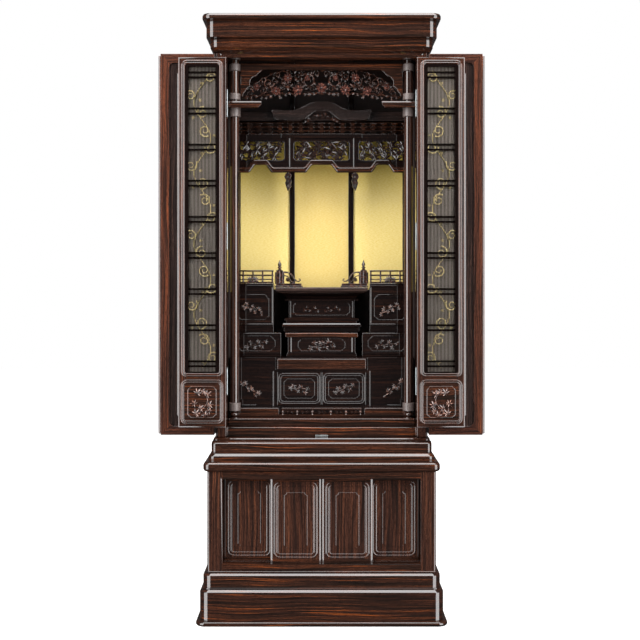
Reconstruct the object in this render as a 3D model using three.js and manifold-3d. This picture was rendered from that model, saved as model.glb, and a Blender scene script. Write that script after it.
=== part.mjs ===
// Household altar cabinet: a moulded plinth and low cupboard under an upper case with open folding doors,
// lattice screens and a tiered altar. Millimetres, +Z up, front towards -Y, origin under the middle.
import * as THREE from 'three';
import { mergeVertices } from 'three/addons/utils/BufferGeometryUtils.js';
import Module from 'manifold-3d';

const wasm = await Module();
wasm.setup();

// Clearances
const GAP = 0.3; // between pieces that touch
const RUN = 1; // round pieces that slide or swing

// Plan
const DEPTH = 540; // nose of the plinth to the back
const FRONT = -DEPTH / 2;
const BACK = DEPTH / 2;
const PLINTH_WIDTH = 662;
const FOOT_INSET = 10; // block behind its nosing
const STEP_INSET = 18;
const CABINET_WIDTH = 604;
const CABINET_SETBACK = 28; // from the plinth's nose, like the setbacks below
const LIP_WIDTH = 626;
const LIP_SETBACK = 20;
const BOARD_WIDTH = 607;
const BOARD_SETBACK = 63;
const SEAT_WIDTH = 596;
const SEAT_SETBACK = 87;
const LEDGE_WIDTH = 590;
const LEDGE_SETBACK = 120;
const CASE_WIDTH = 583;
const CASE_SETBACK = 140;
const CORNICE_WIDTH = 646;
const CORNICE_SETBACK = 82;

// Heights, from the floor up
const NOSING_HEIGHT = 12;
const FOOT_HEIGHT = 81;
const STEP_HEIGHT = 41;
const CABINET_HEIGHT = 266;
const LIP_HEIGHT = 26;
const BOARD_HEIGHT = 16;
const SEAT_HEIGHT = 29;
const LEDGE_HEIGHT = 4;
const CASE_HEIGHT = 1062;
const CORNICE_HEIGHT = 89;
const FOOT_TOP = NOSING_HEIGHT + FOOT_HEIGHT;
const STEP_TOP = FOOT_TOP + STEP_HEIGHT;
const CABINET_TOP = STEP_TOP + CABINET_HEIGHT;
const LIP_TOP = CABINET_TOP + LIP_HEIGHT;
const BOARD_TOP = LIP_TOP + BOARD_HEIGHT;
const SEAT_TOP = BOARD_TOP + SEAT_HEIGHT + LEDGE_HEIGHT;
const CASE_TOP = SEAT_TOP + CASE_HEIGHT;
const CORNICE_TOP = CASE_TOP + CORNICE_HEIGHT;

// Carcasses
const PLINTH_WALL = 20;
const PLINTH_FLOOR = 12;
const CABINET_WALL = 18;
const BACK_PANEL = 8;
const STILE_WIDTH = 40;
const BOTTOM_RAIL = 23;
const TOP_RAIL = 19;
const CASE_WALL = 22.5;
const CASE_STILE = 30;
const CASE_STILE_DEPTH = 40;
const CASE_FLOOR = 25;
const CASE_FLOOR_SETBACK = 20;
const CASE_CEILING = 19;
const INNER_FLOOR_HEIGHT = 21;
const INNER_FLOOR_DEPTH = 45; // behind the stiles' face, like the depths below

// Cupboard doors
const DOOR_THICKNESS = 14;
const DOOR_SETBACK = 17;
const DOOR_BEAD = 4;
const DOOR_OVERLAP = 12;
const DOOR_BEAD_WIDTH = 7;
const DOOR_BEAD_MARGIN = 9;
const TRACK_DEPTH = 5;
const TRACK_SLACK = 1;
const TRACK_GAP = 2;

// Folding outer doors and lattice screens
const LEAF_THICKNESS = 25;
const LEAF_COVER = 5; // over the case's floor and ceiling
const LEAF_DROP = 15; // below the case's opening
const LEAF_LIP = 10; // of the near leaves, past the far ones
const LEAF_MARGIN = 24;
const LEAF_RECESS = 6;
const FIELD_MARGIN = 44;
const FIELD_RISE = 3;
const SCREEN_THICKNESS = 20;
const SCREEN_FOOT = 11; // under the screens, above the case's floor
const SCREEN_HEAD = 13;
const SCREEN_JAMB = 4.5;
const SCREEN_EDGE = 7;
const SCREEN_BEAD_WIDTH = 11;
const SCREEN_STILE = 26.5;
const SCREEN_TOP_RAIL = 25;
const SCREEN_PANEL_HEIGHT = 149;
const SCREEN_BEAD = 3;
const PAIR_COUNT = 9;
const PAIR_SPACING = 13.4;
const PAIR_END = 21; // last pair from the window's end
const BAR_THICKNESS = 3.5;
const BAR_DEPTH = 6;
const BAR_SETBACK = 4;
const SILK_THICKNESS = 2;

// Front of the altar room
const PILLAR_RADIUS = 12.5;
const COLLAR_RADIUS = 16.5;
const FOOT_COLLAR_TOP = 43;
const ARM_COLLAR = 26; // height of the collar under the arms, then of the ones over them and at the top
const UPPER_COLLAR = 18;
const TOP_COLLAR = 20;
const COLLAR_SPACING = 21; // between the collars under and over the arms
const PILLAR_INSET = 17.8; // axis from the stile's inner face
const PILLAR_DEPTH = 60;
const ARM_LENGTH = 94;
const ARM_HEIGHT = 19;
const ARM_THICKNESS = 14;
const ARM_FALL = 112; // top of the arms below the ceiling
const TRANSOM_HEIGHT = 92;
const TRANSOM_FALL = 5;
const TRANSOM_THICKNESS = 14;
const CARVING_THICKNESS = 8;
const CARVING_RELIEF = 6;

// Gold walls
const WALL_DEPTH = 330;
const WALL_THICKNESS = 6;
const SIDE_WALL_DEPTH = 120;
const POST_WIDTH = 16;
const POST_THICKNESS = 8;
const POST_X = 90;

// Canopy
const CANOPY_DEPTH = 210;
const LINTEL_THICKNESS = 12;
const LINTEL_FALL = 178; // top of the beam below the ceiling
const BEAM_HEIGHT = 13;
const PANEL_HEIGHT = 87;
const RAIL_BAND = 15;
const ARCH_RISE = 22;
const ARCH_X = 179.5;
const BRACKET_HEIGHT = 38;
const BRACKET_ARM = 22; // height of the arms under the course's head
const BRACKET_DEPTH = 34;
const BRACKET_SETBACK = 6;
const BRACKET_COUNT = 14;
const ROOF_HALF = 147;
const ROOF_HEIGHT = 59;
const DROP_LENGTH = 54;

// Tiers
const FLOOR_RAIL_HEIGHT = 25;
const FLOOR_RAIL_THICKNESS = 10;
const FLOOR_RAIL_CLEAR = 3.5;
const TIER_ONE_SETBACK = 15;
const TIER_TWO_SETBACK = 45;
const TIER_THREE_SETBACK = 40;
const ALTAR_SETBACK = 10;
const TIER_ONE_HEIGHT = 166;
const TIER_TWO_HEIGHT = 68;
const TIER_THREE_HEIGHT = 144;
const ALTAR_HEIGHT = 132;
const TIER_WALL = 8;
const SHELF_HEIGHT = 31;
const SHELF_FALL = 3;
const SHELF_WIDTH = 254;
const SHELF_THICKNESS = 10;
const SMALL_DOOR_THICKNESS = 6;
const SMALL_DOOR_HEIGHT = 93;
const SMALL_DOOR_FOOT = 31;
const DESK_REVEAL = 5;
const ALTAR_WIDTH = 273;
const DESK_INSET = 31; // in from the altar's ends, like the insets below
const TIER_TWO_INSET = 19;
const NEWEL_INSET = 12.5;
const PLATFORM_CLEAR = 4.5; // beside the altar's top
const ALTAR_TOP_HEIGHT = 17;
const WAIST_INSET = 38; // of the altar's body, from its top's edge
const RAILING_HEIGHT = 38;
const RAILING_THICKNESS = 5;
const NEWEL_SIZE = 20;
const NEWEL_HEIGHT = 43;
const NEWEL_FINIAL = 27;
const NEWEL_BACK = 12; // slab behind the newel
const SCROLL_REACH = 58;
const NEWEL_SLAB_HEIGHT = 11;

// Places worked out from the sizes
const CASE_FRONT = FRONT + CASE_SETBACK;
const CASE_BACK = BACK - CASE_FRONT; // as a depth behind the stiles' face
const OPENING = CASE_WIDTH / 2 - CASE_STILE;
const ROOM_HALF = CASE_WIDTH / 2 - CASE_WALL - GAP;
const FLOOR_Z = SEAT_TOP + CASE_FLOOR;
const CEILING_Z = CASE_TOP - CASE_CEILING;
const ROOM_Z = FLOOR_Z + INNER_FLOOR_HEIGHT + GAP;
const PILLAR_X = OPENING - PILLAR_INSET;
const WALL_HALF = ROOM_HALF - WALL_THICKNESS - GAP;
const RAIL_FRONT = PILLAR_DEPTH + COLLAR_RADIUS + FLOOR_RAIL_CLEAR;
const TIER_ONE_DEPTH = RAIL_FRONT + FLOOR_RAIL_THICKNESS + TIER_ONE_SETBACK;
const TIER_TWO_DEPTH = TIER_ONE_DEPTH + TIER_TWO_SETBACK;
const TIER_THREE_DEPTH = TIER_TWO_DEPTH + TIER_THREE_SETBACK;
const ALTAR_DEPTH = TIER_THREE_DEPTH + ALTAR_SETBACK;
const TIER_BACK = WALL_DEPTH - POST_THICKNESS - 2 * GAP;
const TIER_ONE_TOP = ROOM_Z + TIER_ONE_HEIGHT;
const TIER_TWO_TOP = TIER_ONE_TOP + TIER_TWO_HEIGHT;
const TIER_THREE_TOP = TIER_TWO_TOP + TIER_THREE_HEIGHT;
const ALTAR_TOP = TIER_TWO_TOP + ALTAR_HEIGHT;
const ALTAR_HALF = ALTAR_WIDTH / 2;
const PLATFORM_SPLIT = ALTAR_HALF + PLATFORM_CLEAR;
const TIER_TWO_SPLIT = ALTAR_HALF - TIER_TWO_INSET;
const NEWEL_X = ALTAR_HALF - NEWEL_INSET;

const LACQUER = new THREE.MeshStandardMaterial({ color: '#3a1b14', roughness: 0.25 });
const CARVED = new THREE.MeshStandardMaterial({ color: '#4a2a20', roughness: 0.4 });
const COLLARED = new THREE.MeshStandardMaterial({ color: '#5a443c', roughness: 0.4 });
const GOLD = new THREE.MeshStandardMaterial({ color: '#d9bf52', roughness: 0.4, metalness: 0.6 });
const SILK = new THREE.MeshStandardMaterial({ color: '#6f6a62', roughness: 0.8 });
const METAL = new THREE.MeshStandardMaterial({ color: '#8b8c8e', roughness: 0.4, metalness: 0.8 });

const cabinet = new THREE.Group();
const upper = new THREE.Group(); // its y is the depth behind the stiles' face
upper.position.y = CASE_FRONT;
cabinet.add(upper);

function place(group, name, material, geometry, x = 0, y = 0, z = 0) {
  const mesh = new THREE.Mesh(geometry, material);
  mesh.name = name;
  mesh.position.set(x, y, z);
  group.add(mesh);
  return mesh;
}

// Joins and cuts
function toSolid(geometry) {
  const bare = geometry.clone();
  bare.deleteAttribute('normal');
  bare.deleteAttribute('uv');
  const merged = mergeVertices(bare, 1e-4);
  return new wasm.Manifold(new wasm.Mesh({
    numProp: 3,
    vertProperties: new Float32Array(merged.attributes.position.array),
    triVerts: new Uint32Array(merged.index.array),
  }));
}

function toGeometry(solid) {
  const mesh = solid.getMesh();
  const geometry = new THREE.BufferGeometry();
  geometry.setAttribute('position', new THREE.BufferAttribute(new Float32Array(mesh.vertProperties), 3));
  geometry.setIndex(new THREE.BufferAttribute(new Uint32Array(mesh.triVerts), 1));
  geometry.computeVertexNormals();
  return geometry;
}

function join(geometries) {
  return toGeometry(geometries.map(toSolid).reduce((all, next) => all.add(next)));
}

function cut(body, tools) {
  return toGeometry(tools.map(toSolid).reduce((all, next) => all.subtract(next), toSolid(body)));
}

// Basic forms
function block(x0, x1, y0, y1, z0, z1) {
  const geometry = new THREE.BoxGeometry(x1 - x0, y1 - y0, z1 - z0);
  return geometry.translate((x0 + x1) / 2, (y0 + y1) / 2, (z0 + z1) / 2);
}

function polygon(points) {
  return new THREE.Shape(points.map(([x, z]) => new THREE.Vector2(x, z)));
}

// A shape drawn in x and z, standing between two depths
function standing(shape, front, back, curveSegments = 2) {
  const depth = back - front;
  const geometry = new THREE.ExtrudeGeometry(shape, { depth, bevelEnabled: false, curveSegments });
  return geometry.rotateX(Math.PI / 2).translate(0, back, 0);
}

function roundedRect(x0, x1, z0, z1, radius, target = new THREE.Shape()) {
  target.moveTo(x0 + radius, z0);
  target.absarc(x1 - radius, z0 + radius, radius, -Math.PI / 2, 0);
  target.absarc(x1 - radius, z1 - radius, radius, 0, Math.PI / 2);
  target.absarc(x0 + radius, z1 - radius, radius, Math.PI / 2, Math.PI);
  target.absarc(x0 + radius, z0 + radius, radius, Math.PI, 1.5 * Math.PI);
  return target;
}

// A raised frame with rounded corners, from its proud front to its back in the panel
function bead(x0, x1, z0, z1, radius, width, front, back, segments = 2) {
  const shape = roundedRect(x0, x1, z0, z1, radius);
  const inner = Math.max(radius - width, 1);
  const hole = new THREE.Path();
  shape.holes.push(roundedRect(x0 + width, x1 - width, z0 + width, z1 - width, inner, hole));
  return standing(shape, front, back, segments);
}

// A block with rounded front corners; each level is [z, inset at the sides, inset at the front]
function moulded(width, front, back, corner, levels, steps = 3) {
  const points = [];
  const rings = levels.map(([z, side, face = side]) => {
    const half = width / 2 - side;
    const near = front + face;
    const radius = Math.max(corner - side, 1);
    const ring = [[-half, back]];
    for (let i = 0; i <= steps; i += 1) {
      const angle = Math.PI + (i / steps) * (Math.PI / 2);
      ring.push([-half + radius + radius * Math.cos(angle), near + radius + radius * Math.sin(angle)]);
    }
    for (let i = 0; i <= steps; i += 1) {
      const angle = 1.5 * Math.PI + (i / steps) * (Math.PI / 2);
      ring.push([half - radius + radius * Math.cos(angle), near + radius + radius * Math.sin(angle)]);
    }
    ring.push([half, back]);
    ring.forEach(([x, y]) => points.push(x, y, z));
    return ring.length;
  });
  const count = rings[0];
  const last = (rings.length - 1) * count;
  const faces = [];
  for (let i = 1; i < count - 1; i += 1) {
    faces.push(0, i + 1, i, last, last + i, last + i + 1);
  }
  for (let level = 0; level < last; level += count) {
    for (let i = 0; i < count; i += 1) {
      const next = (i + 1) % count;
      faces.push(level + i, level + next, level + count + next);
      faces.push(level + i, level + count + next, level + count + i);
    }
  }
  const geometry = new THREE.BufferGeometry();
  geometry.setAttribute('position', new THREE.Float32BufferAttribute(points, 3));
  geometry.setIndex(faces);
  geometry.computeVertexNormals();
  return geometry;
}

// A board's levels, with its upper and lower edges rounded
function rounded(z0, z1, round, inset = 0) {
  return [
    [z0, inset + round], [z0 + round, inset], [z1 - round, inset],
    [z1 - 0.3 * round, inset + 0.3 * round], [z1, inset + round],
  ];
}

// Carving
const LOBES = 5;
const LOBE_SHARE = 0.42;
const RELIEF = 2.5;

function starLeaf(x, z, radius, turn) {
  const points = [];
  for (let i = 0; i < 2 * LOBES; i += 1) {
    const reach = i % 2 ? radius * LOBE_SHARE : radius;
    const angle = turn + (i * Math.PI) / LOBES;
    points.push([x + reach * Math.cos(angle), z + reach * Math.sin(angle)]);
  }
  return polygon(points);
}

// Two leaves on a slanting stem; rise is positive where the stem climbs to the right
function spray(x, z, width, rise, front, relief = RELIEF) {
  const radius = width * 0.27;
  const stem = width * 0.04;
  const back = front + 0.8;
  const dx = width / 4;
  const dz = rise / 2;
  const shapes = [
    starLeaf(x - dx, z - dz, radius, 0.4),
    starLeaf(x + dx, z + dz, radius, 1.2),
    polygon([
      [x - dx, z - dz - stem], [x + dx, z + dz - stem],
      [x + dx, z + dz + stem], [x - dx, z - dz + stem],
    ]),
  ];
  return [
    standing(shapes[0], front - relief, back),
    standing(shapes[1], front - relief, back),
    standing(shapes[2], front - relief / 2, back),
  ];
}

// A panel's thin frame with cut corners
function chamferBead(x0, x1, z0, z1, corner, width, front, relief = RELIEF) {
  return bead(x0, x1, z0, z1, corner, width, front - relief, front + 0.8, 1);
}

// Plinth, cupboard and seat
function buildBase() {
  const nose = NOSING_HEIGHT / 3;
  const foot = moulded(PLINTH_WIDTH, FRONT, BACK, 30, [
    [0, nose], [nose, 0], [2 * nose, 0], [NOSING_HEIGHT, nose], [NOSING_HEIGHT, FOOT_INSET],
    [FOOT_TOP - 5, FOOT_INSET], [FOOT_TOP - 1.5, FOOT_INSET + 1.5], [FOOT_TOP, FOOT_INSET + 5],
  ]);
  const hollow = PLINTH_WIDTH / 2 - FOOT_INSET - PLINTH_WALL;
  const near = FRONT + FOOT_INSET + PLINTH_WALL;
  const far = BACK - PLINTH_WALL;
  const well = block(-hollow, hollow, near, far, PLINTH_FLOOR, FOOT_TOP + 1);
  place(cabinet, 'plinth_foot', LACQUER, cut(foot, [well]));
  const step = moulded(PLINTH_WIDTH, FRONT, BACK, 30, [
    [FOOT_TOP + GAP, STEP_INSET], [STEP_TOP - 4, STEP_INSET],
    [STEP_TOP - 1, STEP_INSET + 1.2], [STEP_TOP, STEP_INSET + 4],
  ]);
  const inner = hollow - (STEP_INSET - FOOT_INSET);
  const stepNear = near + (STEP_INSET - FOOT_INSET);
  const stepWell = block(-inner, inner, stepNear, far, FOOT_TOP, STEP_TOP + 1);
  place(cabinet, 'plinth_step', LACQUER, cut(step, [stepWell]));

  const front = FRONT + CABINET_SETBACK;
  const half = CABINET_WIDTH / 2 - STILE_WIDTH;
  const z0 = STEP_TOP + BOTTOM_RAIL;
  const z1 = CABINET_TOP - TOP_RAIL;
  const frontTrack = front + DOOR_SETBACK;
  const rearTrack = frontTrack + DOOR_THICKNESS + DOOR_BEAD + TRACK_GAP;
  const sill = rearTrack + DOOR_THICKNESS + TRACK_GAP;
  const room = CABINET_WIDTH / 2 - CABINET_WALL;
  const slack = TRACK_SLACK / 2;
  const low = z0 - TRACK_DEPTH;
  const high = z1 + TRACK_DEPTH;
  const groove = (y) => block(-half, half, y - slack, y + DOOR_THICKNESS + slack, low, high);
  const shell = moulded(CABINET_WIDTH, front, BACK, 5, [[STEP_TOP + GAP, 0], [CABINET_TOP, 0]], 2);
  place(cabinet, 'lower_case', LACQUER, cut(shell, [
    block(-room, room, sill, BACK - BACK_PANEL, STEP_TOP + CABINET_WALL, CABINET_TOP - CABINET_WALL / 2),
    block(-half, half, front - 1, sill + 1, z0, z1),
    groove(frontTrack),
    groove(rearTrack),
  ]));

  const middle = half - DOOR_OVERLAP;
  const width = (half + DOOR_OVERLAP) / 2;
  const height = z1 - z0 + 2 * (TRACK_DEPTH - RUN);
  const doorZ = z0 - TRACK_DEPTH + RUN;
  const beadFoot = TRACK_DEPTH + DOOR_BEAD_MARGIN;
  const door = (w) => join([
    block(0, w, 0, DOOR_THICKNESS, 0, height),
    bead(DOOR_BEAD_MARGIN, w - DOOR_BEAD_MARGIN, beadFoot, height - beadFoot,
      16, DOOR_BEAD_WIDTH, -DOOR_BEAD, 1, 3),
  ]);
  const inner0 = width - RUN / 2;
  const outer0 = half - middle / 2 - RUN;
  const outerX = half - RUN / 2;
  place(cabinet, 'cupboard_door_left_outer', LACQUER, door(outer0), -outerX, rearTrack, doorZ);
  place(cabinet, 'cupboard_door_left_inner', LACQUER, door(inner0), -inner0 - RUN / 2, frontTrack, doorZ);
  place(cabinet, 'cupboard_door_right_inner', LACQUER, door(inner0), RUN / 2, frontTrack, doorZ);
  place(cabinet, 'cupboard_door_right_outer', LACQUER, door(outer0), outerX - outer0, rearTrack, doorZ);

  place(cabinet, 'lower_top', LACQUER,
    moulded(LIP_WIDTH, FRONT + LIP_SETBACK, BACK, 18, rounded(CABINET_TOP + GAP, LIP_TOP, 4)));
  place(cabinet, 'top_board', LACQUER,
    moulded(BOARD_WIDTH, FRONT + BOARD_SETBACK, BACK, 12, rounded(LIP_TOP + GAP, BOARD_TOP, 4)));
  const seat = SEAT_TOP - LEDGE_HEIGHT;
  const side = (SEAT_WIDTH - LEDGE_WIDTH) / 2;
  const face = LEDGE_SETBACK - SEAT_SETBACK;
  place(cabinet, 'seat_board', LACQUER, moulded(SEAT_WIDTH, FRONT + SEAT_SETBACK, BACK, 12, [
    [BOARD_TOP + GAP, 0], [seat - 5, 0], [seat - 1.5, 1], [seat, side, 5], [seat, side, face],
    [SEAT_TOP - 1.5, side, face], [SEAT_TOP, side + 1.5, face + 1.5],
  ]));
}

// Upper case, raised floor, cornice and catch
function buildCase() {
  const half = CASE_WIDTH / 2 - CASE_WALL;
  const far = CASE_BACK - BACK_PANEL;
  const shell = moulded(CASE_WIDTH, 0, CASE_BACK, 4, [[SEAT_TOP + GAP, 0], [CASE_TOP, 0]], 2);
  place(upper, 'upper_case', LACQUER, cut(shell, [
    block(-half, half, CASE_STILE_DEPTH, far, FLOOR_Z, CEILING_Z),
    block(-OPENING, OPENING, -1, CASE_STILE_DEPTH + 1, FLOOR_Z, CEILING_Z),
    block(-OPENING, OPENING, -1, CASE_FLOOR_SETBACK, SEAT_TOP - 1, FLOOR_Z + 1),
  ]));
  const slab = moulded(2 * (OPENING - GAP), INNER_FLOOR_DEPTH, far - GAP, 2, [
    [FLOOR_Z + GAP, 0], [ROOM_Z - GAP - 2, 0], [ROOM_Z - GAP, 2],
  ], 1);
  place(upper, 'inner_floor', LACQUER, slab);

  const overhang = (CORNICE_WIDTH - CASE_WIDTH) / 2;
  const reach = CASE_SETBACK - CORNICE_SETBACK;
  const at = (z, share) => [CASE_TOP + z * CORNICE_HEIGHT, share * overhang, share * reach];
  const levels = [
    [CASE_TOP + GAP, 0.9 * overhang, 0.8 * reach],
    at(0.1, 0.75), at(0.2, 0.67), at(0.29, 0.64), at(0.29, 0.62), at(0.34, 0.62), at(0.34, 0.35),
    at(0.39, 0.31), at(0.85, 0.31), at(0.88, 0.35), at(0.88, 0.05), at(0.9, 0), at(0.97, 0), at(1, 0.06),
  ];
  const crown = moulded(CORNICE_WIDTH, -reach, CASE_BACK, 22, levels);
  place(upper, 'cornice', LACQUER, cut(crown, [
    block(-half, half, CASE_STILE_DEPTH, far, CASE_TOP - 1, CORNICE_TOP - CASE_CEILING),
  ]));
  const catchBack = CASE_FLOOR_SETBACK - 2;
  place(upper, 'door_catch', METAL, block(-17, 17, catchBack - 8, catchBack, SEAT_TOP + GAP, SEAT_TOP + 5));
}

// Outer doors, folded open beside the case; the inner faces meet
function buildOuterDoors() {
  const pin = CASE_WIDTH / 2 + RUN;
  const width = pin / 2 - GAP;
  const z0 = FLOOR_Z - LEAF_DROP;
  const height = CEILING_Z + LEAF_COVER - z0;
  const thickness = LEAF_THICKNESS - GAP;
  const floor = LEAF_RECESS - thickness;
  const fieldFoot = FIELD_MARGIN + 8;
  const sunk = (w) => roundedRect(LEAF_MARGIN, w - LEAF_MARGIN, LEAF_MARGIN, height - LEAF_MARGIN, 18);
  const leaf = (w) => join([
    cut(block(0, w, -thickness, 0, 0, height), [standing(sunk(w), -thickness - 1, floor)]),
    block(FIELD_MARGIN, w - FIELD_MARGIN, floor - FIELD_RISE, floor + 1, fieldFoot, height - fieldFoot),
  ]);
  const wide = width + LEAF_LIP;
  place(upper, 'outer_door_left_far', LACQUER, leaf(width), -pin - width, -GAP / 2, z0);
  place(upper, 'outer_door_right_far', LACQUER, leaf(width), pin, -GAP / 2, z0);
  place(upper, 'outer_door_left_near', LACQUER, leaf(wide), -pin, GAP / 2, z0).rotation.z = Math.PI;
  place(upper, 'outer_door_right_near', LACQUER, leaf(wide), pin + wide, GAP / 2, z0).rotation.z = Math.PI;
}

// Lattice screens, folded open in front of the outer doors
function screenFrame(width, height, thickness) {
  const face = SCREEN_BEAD - thickness;
  const x0 = SCREEN_STILE;
  const x1 = width - SCREEN_STILE;
  const z0 = SCREEN_PANEL_HEIGHT;
  const z1 = height - SCREEN_TOP_RAIL;
  return join([
    cut(block(0, width, face, 0, 0, height), [
      block(x0, x1, face - 1, 1, z0, z1),
    ]),
    bead(SCREEN_EDGE, width - SCREEN_EDGE, z0 - SCREEN_BEAD_WIDTH - 4, height - SCREEN_EDGE,
      14, SCREEN_BEAD_WIDTH, face - SCREEN_BEAD, face + 1),
    bead(SCREEN_EDGE, width - SCREEN_EDGE, SCREEN_EDGE, z0 - SCREEN_BEAD_WIDTH - 10,
      12, 5, face - SCREEN_BEAD, face + 1),
    chamferBead(SCREEN_STILE, width - SCREEN_STILE, SCREEN_STILE, z0 - SCREEN_STILE - 5, 8, 2.5, face, 1.5),
    ...spray(width / 2, (z0 - SCREEN_STILE) / 2 + 10, width * 0.42, -width * 0.2, face),
  ]);
}

// The silk's board with the pairs of cross bars on it, from its lower left corner at the bars' front
function screenInsert(width, height) {
  const w = width - 2 * SCREEN_STILE - 2 * GAP;
  const h = height - SCREEN_TOP_RAIL - SCREEN_PANEL_HEIGHT - 2 * GAP;
  const pitch = (h - 2 * PAIR_END) / (PAIR_COUNT - 1);
  const back = BAR_DEPTH + SILK_THICKNESS;
  const points = [[h, BAR_DEPTH], [h, back], [0, back], [0, BAR_DEPTH]];
  for (let i = 0; i < PAIR_COUNT; i += 1) {
    for (const offset of [-PAIR_SPACING / 2, PAIR_SPACING / 2]) {
      const z = PAIR_END + i * pitch + offset - BAR_THICKNESS / 2;
      points.push([z, BAR_DEPTH], [z, 0], [z + BAR_THICKNESS, 0], [z + BAR_THICKNESS, BAR_DEPTH]);
    }
  }
  const profile = polygon(points.map(([z, y]) => [y, z]));
  const geometry = new THREE.ExtrudeGeometry(profile, { depth: w, bevelEnabled: false });
  // the profile is drawn as depth and height and runs along x
  return geometry.applyMatrix4(new THREE.Matrix4().set(0, 0, 1, 0, 1, 0, 0, 0, 0, 1, 0, 0, 0, 0, 0, 1));
}

function buildScreens() {
  const pin = OPENING - SCREEN_JAMB;
  const width = pin / 2 - GAP;
  const thickness = SCREEN_THICKNESS - GAP;
  const z0 = FLOOR_Z + SCREEN_FOOT;
  const height = CEILING_Z - SCREEN_HEAD - z0;
  const fold = -LEAF_THICKNESS - RUN - SCREEN_THICKNESS; // plane where the inner faces meet
  const insertX = SCREEN_STILE + GAP;
  const insertY = SCREEN_BEAD - thickness + BAR_SETBACK;
  const insertZ = SCREEN_PANEL_HEIGHT + GAP;
  const leaf = (name, x, y, turned) => {
    const group = new THREE.Group();
    group.position.set(x, y, z0);
    group.rotation.z = turned ? Math.PI : 0;
    upper.add(group);
    place(group, `screen_frame_${name}`, LACQUER, screenFrame(width, height, thickness));
    place(group, `screen_insert_${name}`, SILK, screenInsert(width, height), insertX, insertY, insertZ);
  };
  leaf('left_far', -pin - width, fold - GAP / 2, false);
  leaf('right_far', pin, fold - GAP / 2, false);
  leaf('left_near', -pin, fold + GAP / 2, true);
  leaf('right_near', pin + width, fold + GAP / 2, true);
}

// Pillars, arms and transom
function buildFront() {
  const tall = CEILING_Z - GAP - ROOM_Z;
  const r = PILLAR_RADIUS;
  const c = COLLAR_RADIUS;
  const foot = FOOT_COLLAR_TOP;
  const profile = [
    [0, 0], [c - 3, 0], [c, 4], [c, 13], [r - 2, 17], [r - 2, 20], [c, 20], [c, foot], [r, foot],
  ];
  const collar = (top, bottom) => {
    profile.push([r, tall - bottom], [c, tall - bottom], [c, tall - top], [r, tall - top]);
  };
  const lower = ARM_FALL + 15;
  const upperEnd = lower - COLLAR_SPACING;
  collar(lower, lower + ARM_COLLAR);
  collar(upperEnd - UPPER_COLLAR, upperEnd);
  collar(TRANSOM_FALL, TRANSOM_FALL + TOP_COLLAR);
  profile.push([r, tall], [0, tall]);
  for (const [name, side] of [['left', -1], ['right', 1]]) {
    const turned = new THREE.LatheGeometry(profile.map(([x, z]) => new THREE.Vector2(x, z)), 10);
    turned.rotateX(Math.PI / 2);
    place(upper, `pillar_${name}`, COLLARED, turned, side * PILLAR_X, PILLAR_DEPTH, ROOM_Z);
    const top = CEILING_Z - ARM_FALL;
    const end = OPENING - GAP;
    const shape = polygon([
      [side * end, top], [side * end, top - ARM_HEIGHT], [side * (end - ARM_LENGTH + 9), top - ARM_HEIGHT],
      [side * (end - ARM_LENGTH), top - ARM_HEIGHT + 9], [side * (end - ARM_LENGTH), top],
    ]);
    const back = PILLAR_DEPTH - COLLAR_RADIUS - GAP;
    place(upper, `arm_${name}`, LACQUER, standing(shape, back - ARM_THICKNESS, back));
  }

  const half = PILLAR_X - COLLAR_RADIUS - GAP;
  const top = CEILING_Z - TRANSOM_FALL;
  const arch = [
    [0.72, 0.84], [0.81, 0.68], [0.85, 0.7], [0.9, 0.5], [0.89, 0.32], [0.955, 0.18], [0.985, 0.02],
  ];
  const right = arch.map(([x, z]) => [x * half, top - TRANSOM_HEIGHT + z * TRANSOM_HEIGHT]);
  const left = right.map(([x, z]) => [-x, z]);
  const low = top - TRANSOM_HEIGHT;
  const outline = [[half, low], [half, top], [-half, top], [-half, low], ...left.reverse(), ...right];
  const front = PILLAR_DEPTH - TRANSOM_THICKNESS / 2;
  const back = front + TRANSOM_THICKNESS;
  place(upper, 'transom_board', LACQUER, standing(polygon(outline), front, back));
  place(upper, 'transom_carving', CARVED, transomCarving(half, low, back + GAP));
}

// Pierced scrollwork under a row of leaves, with a wavy lower edge
function transomCarving(half, low, front) {
  const flowers = [[0, 0.32], [0.32, 0.3], [0.6, 0.26], [0.46, 0.7]];
  const holes = [[0.13, 0.66], [0.16, 0.36], [0.32, 0.62], [0.46, 0.38], [0.64, 0.6], [0.76, 0.24]];
  const tall = TRANSOM_HEIGHT - 8;
  const waves = 6;
  const edge = [];
  for (let i = 0; i <= 3 * waves; i += 1) {
    const share = i / (3 * waves);
    const bow = 0.1 * Math.sin(Math.PI * 2 * waves * share) - 0.06 * Math.cos(4 * Math.PI * share);
    edge.push([half * (2 * share - 1), low + tall * bow]);
  }
  const crown = [[1, 0.35], [0.86, 0.75], [0.7, 1], [-0.7, 1], [-0.86, 0.75], [-1, 0.35]];
  const upperEdge = crown.map(([x, z]) => [x * half, low + z * tall]);
  const shape = polygon([...edge, ...upperEdge]);
  for (const [x, z] of holes) {
    for (const side of [-1, 1]) {
      const hole = new THREE.Path();
      const centre = [side * x * half, low + z * tall];
      hole.absellipse(...centre, tall * 0.085, tall * 0.06, 0, 2 * Math.PI, true, side * 0.6);
      shape.holes.push(hole);
    }
  }
  const parts = [standing(shape, front, front + CARVING_THICKNESS, 3)];
  for (const [x, z] of flowers) {
    for (const side of x ? [-1, 1] : [1]) {
      const flower = starLeaf(side * x * half, low + z * tall, tall * 0.17, side * z * 3);
      parts.push(standing(flower, front - CARVING_RELIEF, front + 1));
    }
  }
  return join(parts);
}

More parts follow.
